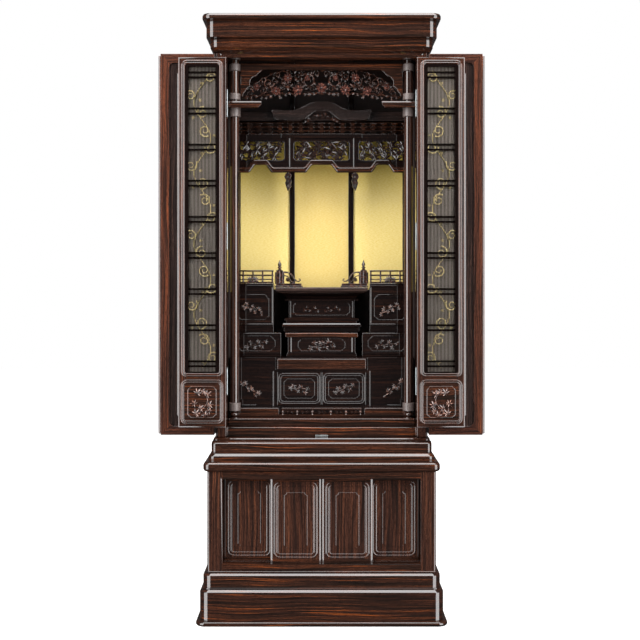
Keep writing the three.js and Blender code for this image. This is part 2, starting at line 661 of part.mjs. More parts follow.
// Gold back and side walls with their posts
function buildWalls() {
  const top = CEILING_Z - GAP;
  const wallBack = WALL_DEPTH + WALL_THICKNESS;
  place(upper, 'gold_wall', GOLD, block(-ROOM_HALF, ROOM_HALF, WALL_DEPTH, wallBack, ROOM_Z, top));
  for (const [name, side] of [['left', -1], ['right', 1]]) {
    const t = WALL_THICKNESS / 2;
    const wall = block(-t, t, SIDE_WALL_DEPTH, WALL_DEPTH - GAP, 0, top - ROOM_Z);
    place(upper, `gold_side_${name}`, GOLD, wall, side * (ROOM_HALF - t), 0, ROOM_Z);
    const post = block(-POST_WIDTH / 2, POST_WIDTH / 2, -POST_THICKNESS, 0, 0, top - ROOM_Z);
    place(upper, `wall_post_${name}`, LACQUER, post, side * POST_X, WALL_DEPTH - GAP, ROOM_Z);
  }
}

// Canopy over the altar
function buildCanopy() {
  const beamTop = CEILING_Z - LINTEL_FALL;
  const panelTop = beamTop - BEAM_HEIGHT;
  const railTop = panelTop - PANEL_HEIGHT;
  const railLow = railTop - RAIL_BAND;
  const front = CANOPY_DEPTH;
  const back = front + LINTEL_THICKNESS;
  const half = WALL_HALF;
  const inner = POST_X - 12;
  const outer = POST_X + 30;
  const margin = 8;
  const window = (x0, x1) => block(x0, x1, front - 1, back + 1, railTop + ARCH_RISE + 6, panelTop - margin);
  const branch = (x0, x1) => {
    const z = (railTop + ARCH_RISE + 6 + panelTop - margin) / 2;
    const reach = (x1 - x0) / 2 + 1;
    const x = (x0 + x1) / 2;
    const wave = polygon([
      [x - reach, z - 12], [x - reach / 3, z + 6], [x + reach / 3, z - 7], [x + reach, z + 9],
      [x + reach, z + 14], [x + reach / 3, z - 1], [x - reach / 3, z + 12], [x - reach, z - 6],
    ]);
    return [
      standing(wave, front + 4, back - 3),
      standing(starLeaf(x - reach / 3, z + 8, 11, 0.3), front + 2, back - 3),
      standing(starLeaf(x + reach / 3, z - 4, 10, 1.1), front + 2, back - 3),
    ];
  };
  const spans = [[-half + 12, -outer], [-inner + 6, inner - 6], [outer, half - 12]];
  const arches = [-ARCH_X, 0, ARCH_X].map((x) => {
    const foot = x ? 39 : 52;
    const crest = x ? 17 : 29;
    const z = railLow + ARCH_RISE + 4;
    const shape = polygon([[x - foot, railLow + 1], [x + foot, railLow + 1], [x + crest, z], [x - crest, z]]);
    return standing(shape, front - 1, back + 1);
  });
  const post = (x) => block(x - 3, x + 3, front - 3, front + 1, railTop + GAP, panelTop + 1);
  place(upper, 'canopy_lintel', CARVED, join([
    cut(block(-half, half, front, back, railLow + 6, beamTop), [
      ...spans.map(([x0, x1]) => window(x0, x1)),
      ...arches,
    ]),
    block(-POST_X - 30, POST_X + 30, front - 8, front + 1, panelTop, beamTop),
    post(-POST_X - 5),
    post(POST_X + 5),
    ...spans.flatMap(([x0, x1]) => branch(x0, x1)),
  ]));

  const lowerEdge = [];
  const upperEdge = [];
  for (const x of [-ARCH_X, 0, ARCH_X]) {
    const foot = x ? 36 : 49;
    const crest = x ? 14 : 26;
    const z = railLow + ARCH_RISE;
    lowerEdge.push([x - foot, railLow], [x - crest, z], [x + crest, z], [x + foot, railLow]);
  }
  for (const x of [ARCH_X, 0, -ARCH_X]) {
    const foot = x ? 40 : 54;
    const crest = x ? 20 : 32;
    const z = railTop + ARCH_RISE;
    upperEdge.push([x + foot, railTop], [x + crest, z], [x - crest, z], [x - foot, railTop]);
  }
  const ends = [[half, railLow], [half, railTop]];
  const band = polygon([[-half, railLow], ...lowerEdge, ...ends, ...upperEdge, [-half, railTop]]);
  place(upper, 'wave_rail', LACQUER, standing(band, front - 9, front - 3 - GAP));

  // brackets in two rows under the eaves
  const pitch = (2 * half) / BRACKET_COUNT;
  const armTop = beamTop + BRACKET_ARM;
  const headTop = beamTop + BRACKET_HEIGHT;
  const comb = [[half, headTop], [-half, headTop]];
  for (let i = 0; i < BRACKET_COUNT; i += 1) {
    const x = -half + i * pitch;
    comb.push([x, armTop], [x + 0.2 * pitch, armTop], [x + 0.2 * pitch, beamTop + GAP],
      [x + 0.8 * pitch, beamTop + GAP], [x + 0.8 * pitch, armTop]);
  }
  comb.push([half, armTop]);
  const combFront = front + BRACKET_SETBACK;
  place(upper, 'bracket_course', CARVED, join([
    standing(polygon(comb), combFront, combFront + BRACKET_DEPTH),
    block(-ROOF_HALF + 10, ROOF_HALF - 10, combFront - 10, combFront + 1, armTop + 2, headTop),
  ]));

  const eave = beamTop + BRACKET_HEIGHT + GAP;
  const bow = (x) => 0.225 * (1 + Math.cos((Math.PI * Math.min(Math.abs(x), 0.6)) / 0.6));
  const top = (x) => eave + ROOF_HEIGHT * (0.55 + bow(x));
  const roof = [];
  const steps = 12;
  for (let i = 0; i <= steps; i += 1) {
    const x = 1 - (2 * i) / steps;
    roof.push([x * ROOF_HALF, top(x) - (Math.abs(x) === 1 ? 3 : 0)]);
  }
  const soffit = [
    [-0.97, 0.35], [-0.82, 0.02], [-0.42, 0.02], [-0.2, 0.36], [0, 0.46],
    [0.2, 0.36], [0.42, 0.02], [0.82, 0.02], [0.97, 0.35],
  ];
  soffit.forEach(([x, z]) => roof.push([x * ROOF_HALF, eave + z * ROOF_HEIGHT]));
  const eaveBack = WALL_DEPTH - POST_THICKNESS - 1;
  const sides = block(-half, half, front + 15, eaveBack, eave + 0.02 * ROOF_HEIGHT, eave + 0.5 * ROOF_HEIGHT);
  place(upper, 'canopy_roof', CARVED, join([standing(polygon(roof), front - 20, front + 20), sides]));

  for (const [name, side] of [['left', -1], ['right', 1]]) {
    const drop = [
      [0, 0], [9, -2], [12, -9], [8, -16], [13, -24], [9, -32], [11, -40], [4, -48],
      [0, -DROP_LENGTH], [-4, -44], [-8, -30], [-5, -22], [-10, -12], [-6, -2],
    ];
    const shape = polygon(drop.map(([x, z]) => [-side * x, z]).reverse());
    const outline = side < 0 ? polygon(drop) : shape;
    const carved = standing(outline, -4, 4);
    place(upper, `carved_drop_${name}`, CARVED, carved, side * (POST_X + 10), front - 5, railLow - GAP);
  }
}

// Tiers and altar
function tierBox(x0, x1, z0, z1, depth) {
  return cut(block(x0, x1, depth, TIER_BACK, z0, z1), [
    block(x0 + TIER_WALL, x1 - TIER_WALL, depth + TIER_WALL, TIER_BACK + 1, z0 + TIER_WALL, z1 - TIER_WALL),
  ]);
}

function buildTiers() {
  const end = WALL_HALF;
  const d1 = TIER_ONE_DEPTH;
  const doorTop = ROOM_Z + SMALL_DOOR_FOOT + SMALL_DOOR_HEIGHT;
  const doorLow = ROOM_Z + SMALL_DOOR_FOOT;
  const stripTop = TIER_ONE_TOP - SHELF_FALL - SHELF_HEIGHT - 6;
  const strip = (x) => block(x - 3, x + 3, d1 - 3, d1 + 1, ROOM_Z + 6, stripTop);
  const shelfHalf = SHELF_WIDTH / 2;
  const postX = shelfHalf + 11;
  const sideX = (end + postX) / 2;
  place(upper, 'tier_one', LACQUER, join([
    tierBox(-end, end, ROOM_Z, TIER_ONE_TOP, d1),
    strip(-postX),
    strip(postX),
    ...spray(-sideX, (doorLow + doorTop) / 2, 50, -34, d1),
    ...spray(sideX, (doorLow + doorTop) / 2, 50, 34, d1),
  ]));
  const shelfTop = TIER_ONE_TOP - SHELF_FALL;
  place(upper, 'tier_one_shelf', LACQUER,
    block(-shelfHalf, shelfHalf, d1 - SHELF_THICKNESS - GAP, d1 - GAP, shelfTop - SHELF_HEIGHT, shelfTop));
  const doorWidth = shelfHalf - 2 * RUN;
  const doorFace = -SMALL_DOOR_THICKNESS;
  const smallDoor = (lean) => join([
    block(0, doorWidth, doorFace, 0, 0, SMALL_DOOR_HEIGHT),
    bead(2, doorWidth - 2, 2, SMALL_DOOR_HEIGHT - 2, 14, 5, doorFace - 3, doorFace + 1),
    chamferBead(19, doorWidth - 19, 18, SMALL_DOOR_HEIGHT - 18, 9, 2.5, doorFace, 1.5),
    ...spray(doorWidth / 2, SMALL_DOOR_HEIGHT / 2, 56, lean, doorFace),
  ]);
  place(upper, 'tier_one_door_left', LACQUER, smallDoor(-14), -doorWidth - RUN, d1 - GAP, doorLow);
  place(upper, 'tier_one_door_right', LACQUER, smallDoor(14), RUN, d1 - GAP, doorLow);

  // second tier: a desk between two side pieces
  const z2 = TIER_ONE_TOP + GAP;
  const d2 = TIER_TWO_DEPTH;
  const deskHalf = ALTAR_HALF - DESK_INSET;
  const deskPanel = deskHalf - 39.5;
  const edge = 13;
  const tall = TIER_TWO_TOP - z2;
  place(upper, 'tier_two_desk', LACQUER, join([
    tierBox(-deskHalf + 8, deskHalf - 8, z2, TIER_TWO_TOP, d2),
    block(-deskHalf, deskHalf, d2 - DESK_REVEAL, d2 + 40, TIER_TWO_TOP - edge, TIER_TWO_TOP),
    block(-deskHalf + 4, deskHalf - 4, d2 - 4, d2 + 40, z2, z2 + 10),
    chamferBead(-deskPanel, deskPanel, z2 + 14, TIER_TWO_TOP - edge - 4, 10, 2.5, d2, 1.5),
    ...spray(0, z2 + tall / 2 - 1, 1.1 * deskPanel, 8, d2, 2),
  ]));
  for (const [name, side] of [['left', -1], ['right', 1]]) {
    const x0 = side < 0 ? -end : TIER_TWO_SPLIT;
    const x1 = side < 0 ? -TIER_TWO_SPLIT : end;
    place(upper, `tier_two_${name}`, LACQUER, join([
      tierBox(x0, x1, z2, TIER_TWO_TOP, d2),
      block(x0, x1, d2 - 3, d2 + 1, TIER_TWO_TOP - 4, TIER_TWO_TOP),
      block(x0, x1, d2 - 4, d2 + 1, z2, z2 + 10),
      chamferBead(x0 + 16, x1 - 16, z2 + 14, TIER_TWO_TOP - 9, 10, 2.5, d2, 1.5),
      ...spray((x0 + x1) / 2, z2 + tall / 2, 62, -side * 6, d2, 2),
    ]));
  }

  // third tier: side platforms with railings, and the altar between them
  const z3 = TIER_TWO_TOP + GAP;
  const d3 = TIER_THREE_DEPTH;
  for (const [name, side] of [['left', -1], ['right', 1]]) {
    const x0 = side < 0 ? -end : PLATFORM_SPLIT;
    const x1 = side < 0 ? -PLATFORM_SPLIT : end;
    const top = TIER_THREE_TOP;
    place(upper, `side_platform_${name}`, LACQUER, join([
      tierBox(x0, x1, z3, top, d3),
      block(x0, x1, d3 - 5, d3 + 1, top - 9, top),
      block(x0, x1, d3 - 3, d3 + 1, z3 + 20, z3 + 26),
      chamferBead(x0 + 12, x1 - 12, z3 + 34, top - 32, 10, 2.5, d3, 1.5),
      ...spray((x0 + x1) / 2, z3 + 66, 56, -side * -26, d3),
    ]));
    place(upper, `platform_rail_${name}`, CARVED, railing(x0, x1), 0, d3 + 2, top + GAP);
    place(upper, `newel_${name}`, CARVED, newel(side), 0, ALTAR_DEPTH, ALTAR_TOP + GAP);
  }

  const slab = ALTAR_TOP - ALTAR_TOP_HEIGHT;
  const front = ALTAR_DEPTH;
  place(upper, 'altar_top', LACQUER, moulded(ALTAR_WIDTH, front, TIER_BACK, 2, [
    [slab + GAP, 8], [slab + 4, 1], [ALTAR_TOP - 2, 0], [ALTAR_TOP, 1.5],
  ], 1));
  const rise = slab - z3;
  const inset = (z, x) => [z3 + z * rise, x];
  const body = moulded(ALTAR_WIDTH, front, TIER_BACK, 2, [
    inset(0, 24), inset(0.12, 24), inset(0.12, 19), inset(0.22, 22), inset(0.22, 30), inset(0.28, 30),
    inset(0.28, 26), inset(0.35, 26), inset(0.35, WAIST_INSET), inset(0.8, WAIST_INSET), inset(0.8, 26),
    inset(0.84, 26), inset(0.86, 34), inset(0.92, 28), inset(1, 12),
  ], 1);
  const waist = ALTAR_HALF - WAIST_INSET;
  const face = front + WAIST_INSET;
  const hollow = waist - TIER_WALL;
  const panel = waist - 14.5;
  const leafX = 0.38 * panel;
  place(upper, 'altar_body', LACQUER, join([
    cut(body, [
      block(-hollow, hollow, face + TIER_WALL, TIER_BACK + 1, z3 + TIER_WALL, slab - 2 * TIER_WALL),
    ]),
    chamferBead(-panel, panel, z3 + 0.42 * rise, z3 + 0.74 * rise, 9, 2.5, face, 2),
    ...spray(-leafX, z3 + 0.57 * rise, 0.55 * panel, -8, face, 2),
    ...spray(leafX, z3 + 0.57 * rise, 0.55 * panel, 8, face, 2),
  ]));
}

// Three rails, with short posts and a lotus between
function railing(x0, x1) {
  const t = RAILING_THICKNESS;
  const h = RAILING_HEIGHT;
  const middle = (x0 + x1) / 2;
  const reach = (x1 - x0) / 2;
  const parts = [
    block(x0, x1, 0, t, 0, 4),
    block(x0, x1, 1, t - 1, 0.58 * h, 0.66 * h),
    block(x0, x1, 0, t, h - 4, h),
    standing(polygon([[middle - 14, 2], [middle + 14, 2], [middle + 18, 0.4 * h], [middle + 6, 0.62 * h],
      [middle - 6, 0.62 * h], [middle - 18, 0.4 * h]]), 1.5, t - 1.5),
  ];
  for (const share of [-0.92, -0.46, 0.46, 0.92]) {
    const x = middle + share * reach;
    parts.push(block(x - 2, x + 2, 0.5, t - 0.5, 1, h - 1));
  }
  return join(parts);
}

// Newel post with a pointed finial, and a scroll down towards the middle
function newel(side) {
  const s = NEWEL_SLAB_HEIGHT;
  const n = NEWEL_SIZE / 2;
  const x = side * NEWEL_X;
  const t = RAILING_THICKNESS;
  const y = n + 4;
  const turning = [[0, 0], [5, 0], [6, 3], [3.5, 5], [6, 12], [3, 20], [0, NEWEL_FINIAL]];
  const finial = new THREE.LatheGeometry(turning.map(([r, z]) => new THREE.Vector2(r, z)), 8);
  finial.rotateX(Math.PI / 2).translate(x, y, s + NEWEL_HEIGHT - 0.5);
  const scroll = [
    [2, 0], [SCROLL_REACH, 0], [54, 7], [46, 9], [38, 24], [26, 34],
    [8, 37], [8, 32], [22, 29], [32, 20], [36, 8], [8, 8],
  ];
  const curl = scroll.map(([u, z]) => [x - side * (n - 4 + u), s - 0.5 + z]);
  const slabEnds = [x - side * (n + SCROLL_REACH), x + side * (n + 1)];
  return join([
    block(Math.min(...slabEnds), Math.max(...slabEnds), 0, NEWEL_SIZE + NEWEL_BACK, 0, s),
    block(x - n, x + n, y - n, y + n, s - 1, s + NEWEL_HEIGHT),
    block(x - n - 4, x + n + 4, y - t, y + t, s - 1, s + NEWEL_HEIGHT - 10),
    finial,
    standing(polygon(curl), y - t / 2, y + t / 2),
  ]);
}

// Low rails on the floor in front of the tiers
function buildFloorRail() {
  const half = WALL_HALF;
  const inner = SHELF_WIDTH / 2 - 14;
  const outer = inner + 8;
  const h = FLOOR_RAIL_HEIGHT;
  const t = FLOOR_RAIL_THICKNESS;
  const parts = [
    block(-half, half, 0, t, 0, 6),
    block(-inner, inner, 0, t, h - 6, h),
  ];
  for (const side of [-1, 1]) {
    const ends = [side * outer, side * half].sort((a, b) => a - b);
    parts.push(block(ends[0], ends[1], 0, t, h - 7, h), block(ends[0], ends[1], 2, t, 4, h - 4));
  }
  for (const share of [-0.97, -0.61, -0.23, 0.23, 0.61, 0.97]) {
    parts.push(block(share * inner - 5, share * inner + 5, 1, t - 1, 4, h - 4));
  }
  place(upper, 'floor_rail', CARVED, join(parts), 0, RAIL_FRONT, ROOM_Z);
}

buildBase();
buildCase();
buildOuterDoors();
buildScreens();
buildFront();
buildWalls();
buildCanopy();
buildTiers();
buildFloorRail();

export default cabinet;
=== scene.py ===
# Household altar cabinet in lacquered rosewood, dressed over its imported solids. Metres, front towards -Y.
import math
import random

import bpy
from mathutils import Matrix, Vector


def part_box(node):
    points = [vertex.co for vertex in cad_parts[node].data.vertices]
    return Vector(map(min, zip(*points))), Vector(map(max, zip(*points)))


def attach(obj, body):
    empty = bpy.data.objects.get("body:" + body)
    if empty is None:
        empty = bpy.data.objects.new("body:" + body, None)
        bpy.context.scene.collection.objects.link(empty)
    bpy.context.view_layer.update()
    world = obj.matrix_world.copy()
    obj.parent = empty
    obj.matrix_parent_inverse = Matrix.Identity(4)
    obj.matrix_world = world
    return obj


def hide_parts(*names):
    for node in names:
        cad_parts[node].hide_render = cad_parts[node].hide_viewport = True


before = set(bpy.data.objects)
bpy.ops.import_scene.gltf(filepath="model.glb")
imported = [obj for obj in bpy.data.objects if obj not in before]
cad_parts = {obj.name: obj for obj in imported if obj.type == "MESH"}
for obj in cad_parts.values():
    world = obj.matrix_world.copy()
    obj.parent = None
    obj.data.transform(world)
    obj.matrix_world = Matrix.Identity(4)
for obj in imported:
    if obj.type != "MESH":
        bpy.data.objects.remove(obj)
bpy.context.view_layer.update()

bpy.ops.object.select_all(action="DESELECT")

MM = 0.001
QUARTER = math.pi / 2

# Camera, worked out from the cabinet's known sizes in the photograph
EYE = (0.0, -2.910, 0.888)
FOCAL_LENGTH = 56.925
SHIFT = (-0.0025, -0.0516)


def add_camera():
    bpy.ops.object.camera_add(location=EYE, rotation=(QUARTER, 0, 0))
    camera = bpy.context.object
    camera.data.lens = FOCAL_LENGTH
    camera.data.shift_x, camera.data.shift_y = SHIFT
    bpy.context.scene.camera = camera


def linear(hex_colour):
    """An sRGB hex colour as linear values."""
    channels = [int(hex_colour[i:i + 2], 16) / 255 for i in (1, 3, 5)]
    bent = [c / 12.92 if c <= 0.04045 else ((c + 0.055) / 1.055) ** 2.4 for c in channels]
    return (*bent, 1.0)


def add(tree, kind, settings=(), links=()):
    """Adds a node, with its properties, socket values, ramp stops and links."""
    node = tree.nodes.new("ShaderNode" + kind)
    for name, value in dict(settings).items():
        if name == "stops":
            ramp = node.color_ramp.elements
            while len(ramp) < len(value):
                ramp.new(0.5)
            for element, (position, colour) in zip(ramp, value):
                element.position = position
                element.color = colour
        elif isinstance(name, str) and hasattr(node, name):
            setattr(node, name, value)
        else:
            node.inputs[name].default_value = value
    for name, source in dict(links).items():
        tree.links.new(source, node.inputs[name])
    return node


def new_material(name):
    material = bpy.data.materials.new(name)
    material.use_nodes = True
    tree = material.node_tree
    tree.nodes.clear()
    return material, tree


def finish_material(tree, settings, links):
    shader = add(tree, "BsdfPrincipled", settings, links)
    add(tree, "OutputMaterial", (), {"Surface": shader.outputs[0]})


# Rosewood: brown heartwood with near-black growth lines and orange-brown streaks, fine open pores,
# under a clear polyester lacquer that gives a sharp, wet gloss.
STREAK = 3.6 * MM
PORE = 0.9 * MM
FIGURE_RUN = 250 * MM
PORE_RUN = 14 * MM


def rosewood(name, along, dark, middle, light, streak, gloss=0.03, depth_streak=30 * MM):
    material, tree = new_material(name)
    axis = "XYZ".index(along)
    figure = [1 / STREAK, 1 / STREAK, 1 / STREAK]
    pores = [1 / PORE, 1 / PORE, 1 / PORE]
    figure[1] = 1 / depth_streak
    figure[axis] = 1 / FIGURE_RUN
    pores[axis] = 1 / PORE_RUN
    place = add(tree, "TexCoord").outputs["Object"]
    bend = add(tree, "TexNoise", {"Scale": 5.0, "Detail": 1.0}, {"Vector": place})
    shift = add(tree, "VectorMath", {"operation": "MULTIPLY_ADD", 1: (0.016,) * 3},
                {0: bend.outputs["Color"], 2: place})
    drawn = add(tree, "Mapping", {"Scale": figure}, {"Vector": shift.outputs[0]})
    lines = add(tree, "TexNoise", {"Scale": 1.0, "Detail": 3.5, "Roughness": 0.62},
                {"Vector": drawn.outputs[0]})
    stops = [(0.36, linear(dark)), (0.5, linear(middle)), (0.63, linear(light)), (0.74, linear(streak))]
    colour = add(tree, "ValToRGB", {"stops": stops}, {"Fac": lines.outputs["Fac"]})
    pricked = add(tree, "Mapping", {"Scale": pores}, {"Vector": place})
    pits = add(tree, "TexNoise", {"Scale": 1.0, "Detail": 2.0}, {"Vector": pricked.outputs[0]})
    shade = add(tree, "ValToRGB", {"stops": [(0.35, (0.4, 0.38, 0.38, 1)), (0.55, (1, 1, 1, 1))]},
                {"Fac": pits.outputs["Fac"]})
    mixed = add(tree, "Mix", {"data_type": "RGBA", "blend_type": "MULTIPLY", 0: 1.0},
                {6: colour.outputs[0], 7: shade.outputs[0]})
    bump = add(tree, "Bump", {"Strength": 0.1, "Distance": 0.1 * MM}, {"Height": pits.outputs["Fac"]})
    finish_material(tree, {"Roughness": 0.6, "Specular IOR Level": 0.0, "Coat Weight": 1.0,
                           "Coat Roughness": gloss},
                    {"Base Color": mixed.outputs[2], "Normal": bump.outputs[0]})
    return material


level_wood = rosewood("Lacquered rosewood, level grain", "X", "#0d0907", "#21130e", "#381d11", "#733812")
upright_wood = rosewood("Lacquered rosewood, upright grain", "Z", "#130c0a", "#2a1812", "#3c2318", "#56301d")
door_wood = rosewood("Lacquered rosewood, outer door stiles", "Z", "#190f0c", "#311c15", "#4b281a", "#6a3821")
door_rail_wood = rosewood("Lacquered rosewood, outer door rails", "X", "#160e0c", "#2c1914", "#432519",
                          "#5f331e")
door_field_wood = rosewood("Lacquered rosewood, outer door fields", "Z", "#140f0e", "#211816", "#2c201c",
                           "#382720")
# Altar-room rosewood, near black: partly the wood's own dark colour and partly painted shade for the deep room
shaded_inner_wood = rosewood("Lacquered rosewood, altar", "X", "#080505", "#100908", "#1b0f0b", "#351b10")
shaded_inner_upright = rosewood("Lacquered rosewood, altar posts", "Z", "#080505", "#100908", "#190e0a", "#27150d")
altar_slab_wood = rosewood("Lacquered rosewood, altar slab", "X", "#1a1311", "#2a1e1a", "#362823", "#4a352d",
                           0.2)
gable_wood = rosewood("Lacquered rosewood, canopy gable", "X", "#120c0a", "#1d1412", "#261b18", "#33241f",
                      0.2)
shelf_wood = rosewood("Lacquered rosewood, shelves", "X", "#0f0907", "#22130d", "#371d12", "#5a2e15")


def carved_rosewood(name, deep, middle, pale, gloss=0.08):
    """Hand-cut wood with random paler flecks, a painted highlight standing in for glints on its ridges, with a
    thin satin lacquer.
    """
    material, tree = new_material(name)
    place = add(tree, "TexCoord").outputs["Object"]
    flecks = add(tree, "TexNoise", {"Scale": 160.0, "Detail": 3.0}, {"Vector": place})
    colour = add(tree, "ValToRGB", {"stops": [(0.35, linear(deep)), (0.5, linear(middle)),
                                              (0.68, linear(pale))]},
                 {"Fac": flecks.outputs["Fac"]})
    bump = add(tree, "Bump", {"Strength": 0.2, "Distance": 0.2 * MM}, {"Height": flecks.outputs["Fac"]})
    finish_material(tree, {"Roughness": 0.6, "Specular IOR Level": 0.0, "Coat Weight": 1.0,
                           "Coat Roughness": gloss},
                    {"Base Color": colour.outputs[0], "Normal": bump.outputs[0]})
    return material


def gold_paper(name, deep, pale):
    """Gold-leaf paper: pale yellow gold with a fine diagonal weave, with the canopy's shade painted in as a
    darker, more saturated tone towards the top.
    """
    material, tree = new_material(name)
    place = add(tree, "TexCoord").outputs["Object"]
    weave = add(tree, "Mapping", {"Rotation": (0, math.radians(40), 0), "Scale": (140, 140, 700)},
                {"Vector": place})
    threads = add(tree, "TexNoise", {"Scale": 1.0, "Detail": 3.0}, {"Vector": weave.outputs[0]})
    colour = add(tree, "ValToRGB", {"stops": [(0.35, linear(deep)), (0.65, linear(pale))]},
                 {"Fac": threads.outputs["Fac"]})
    # Painted shade of the canopy: between 1.0 and 1.3 m the colour is multiplied towards a darker, more
    # saturated gold
    height = add(tree, "SeparateXYZ", (), {0: place})
    painted_canopy_shade = add(tree, "ValToRGB", {"stops": [(0.55, (1, 1, 1, 1)), (1.0, (1, 0.96, 0.42, 1))]})
    low, high = 1.0, 1.3
    share = add(tree, "Math", {"operation": "MULTIPLY_ADD", 1: 1 / (high - low), 2: -low / (high - low)},
                {0: height.outputs[2]})
    tree.links.new(share.outputs[0], painted_canopy_shade.inputs[0])
    mixed = add(tree, "Mix", {"data_type": "RGBA", "blend_type": "MULTIPLY", 0: 1.0},
                {6: colour.outputs[0], 7: painted_canopy_shade.outputs[0]})
    bump = add(tree, "Bump", {"Strength": 0.25, "Distance": 0.1 * MM}, {"Height": threads.outputs["Fac"]})
    finish_material(tree, {"Roughness": 0.5, "Metallic": 0.25},
                    {"Base Color": mixed.outputs[2], "Normal": bump.outputs[0]})
    return material


def plain_finish(name, pale, deep, settings, scale=400.0):
    material, tree = new_material(name)
    place = add(tree, "TexCoord").outputs["Object"]
    cloud = add(tree, "TexNoise", {"Scale": scale, "Detail": 2.0}, {"Vector": place})
    colour = add(tree, "ValToRGB", {"stops": [(0.3, linear(deep)), (0.7, linear(pale))]},
                 {"Fac": cloud.outputs["Fac"]})
    bump = add(tree, "Bump", {"Strength": 0.1, "Distance": 0.05 * MM}, {"Height": cloud.outputs["Fac"]})
    finish_material(tree, settings, {"Base Color": colour.outputs[0], "Normal": bump.outputs[0]})
    return material


carved_wood = carved_rosewood("Carved rosewood", "#0a0504", "#1f100c", "#452a20")
# A paler carved rosewood for the screens, the first tier and the platforms: its pale tone is painted highlight
carving_with_painted_highlight = carved_rosewood("Carved rosewood, paled as painted highlight", "#180d0a", "#38221b", "#795a4e")
blossom_wood = carved_rosewood("Carved rosewood blossoms", "#150a08", "#3c1d17", "#6e4437")
dark_carving = carved_rosewood("Carved rosewood in the shade", "#080504", "#170d0a", "#2e1c17", 0.16)
# Two copies of one gold paper: the sides' copy is brightened as painted light and the middle panel's dimmed as
# painted shade
gold_leaf = gold_paper("Gold leaf paper", "#c2a857", "#cebc7d")
shaded_gold_leaf = gold_paper("Gold leaf paper, middle panel, dimmed as painted shade", "#af9548", "#baa567")
# Unpolished rosewood behind and beside the altar room, oiled dull, its colour darkened as painted shade for
# the gap beside the pillars and the dark above and below the gold
shaded_matt_wood = plain_finish("Oiled rosewood, darkened as painted shade", "#1c110e", "#0f0908",
                         {"Roughness": 0.75, "Specular IOR Level": 0.2}, 60.0)
# Black-brown painted shade, for the dark ring beside the lattice and for the cross bars, which stand dark in
# their recess
shadow_wood = plain_finish("Black-brown painted shade", "#0a0605", "#050303",
                           {"Roughness": 0.7, "Specular IOR Level": 0.0})
# Bronze-brown painted collars, satin
collar_finish = plain_finish("Bronze-brown collar lacquer", "#574b47", "#3a312f",
                             {"Roughness": 0.55, "Coat Weight": 0.15})
# Zinc-plated steel, lightly brushed
steel = plain_finish("Zinc-plated steel", "#979c9d", "#6d7375", {"Roughness": 0.35, "Metallic": 0.9}, 900.0)
# Silk cloth, taupe grey, matt with a weak sheen
silk = plain_finish("Taupe silk", "#b0a498", "#8a8077", {"Roughness": 0.7, "Sheen Weight": 0.4}, 1500.0)
# Dark slats with rounded fronts, in a matt finish with no lacquer
slat_wood = plain_finish("Slat rosewood", "#0c0908", "#070504", {"Roughness": 0.7, "Specular IOR Level": 0.0})
# Gold thread
gold_thread = plain_finish("Gold thread", "#fff0bc", "#f0d288", {"Roughness": 0.5}, 900.0)


def focus(piece):
    """Makes this the one selected piece, in object mode."""
    bpy.ops.object.select_all(action="DESELECT")
    piece.select_set(True)
    bpy.context.view_layer.objects.active = piece
    return piece


def choose(piece, kind, test):
    """Opens the piece in edit mode, with the vertices, edges or faces that pass the test selected."""
    focus(piece)
    bpy.ops.object.mode_set(mode="EDIT")
    bpy.ops.mesh.select_mode(type=kind)
    bpy.ops.mesh.select_all(action="DESELECT")
    bpy.ops.object.mode_set(mode="OBJECT")
    mesh = piece.data
    if kind == "VERT":
        for vertex in mesh.vertices:
            vertex.select = test(vertex.co)
    elif kind == "EDGE":
        for edge in mesh.edges:
            edge.select = test(*(mesh.vertices[i].co for i in edge.vertices))
    else:
        for face in mesh.polygons:
            face.select = test(face.center, face.normal)
    bpy.ops.object.mode_set(mode="EDIT")


def apply_modifier(piece, kind, **settings):
    focus(piece)
    modifier = piece.modifiers.new(kind.title(), kind)
    for name, value in settings.items():
        setattr(modifier, name, value)
    bpy.ops.object.modifier_apply(modifier=modifier.name)


def smooth(piece, degrees=38):
    focus(piece)
    bpy.ops.object.shade_smooth_by_angle(angle=math.radians(degrees))
    return piece


def round_edges(piece, test, width, front, flat=0.4):
    """Gives the edges that pass the test a broad, low rounding that starts at the front plane."""
    flatter(piece, front, 1 / flat)
    choose(piece, "EDGE", test)
    bpy.ops.mesh.bevel(offset=width, segments=6, affect="EDGES")
    bpy.ops.object.mode_set(mode="OBJECT")
    return smooth(flatter(piece, front, flat))


def flatter(piece, y, share):
    """Squeezes a piece towards the plane at y, which makes its round edges broad and low."""
    piece.data.transform(Matrix.Translation((0, y, 0)) @ Matrix.Diagonal((1, share, 1, 1))
                         @ Matrix.Translation((0, -y, 0)))
    return piece


def soften(piece, width, segments=3, degrees=32):
    """Rounds the piece's sharp edges, as a lacquered edge is."""
    apply_modifier(piece, "BEVEL", width=width, segments=segments, limit_method="ANGLE",
                   angle_limit=math.radians(degrees), harden_normals=False)
    return smooth(piece)


def fit(piece, name, material, body, slot, *nodes):
    """Names the finished piece, gives it its finish and sets it on its body in place of its solids."""
    focus(piece)
    bpy.ops.object.transform_apply(location=True, rotation=True, scale=True)
    apply_modifier(piece, "WEIGHTED_NORMAL", keep_sharp=True)
    piece.name = name
    piece.data.name = name
    if material:
        piece.data.materials.clear()
        piece.data.materials.append(material)
    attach(piece, body)
    if nodes:
        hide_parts(*nodes)
    return piece


def copied(piece, move=(0, 0, 0)):
    twin = piece.copy()
    twin.data = piece.data.copy()
    bpy.context.scene.collection.objects.link(twin)
    twin.data.transform(Matrix.Translation(move))
    return twin


def mirrored(piece):
    """The same piece for the other side of the cabinet."""
    twin = copied(piece)
    twin.data.transform(Matrix.Scale(-1, 4, (1, 0, 0)))
    twin.data.flip_normals()
    return twin


def joined(pieces):
    focus(pieces[0])
    for piece in pieces:
        piece.select_set(True)
    bpy.ops.object.join()
    return bpy.context.object


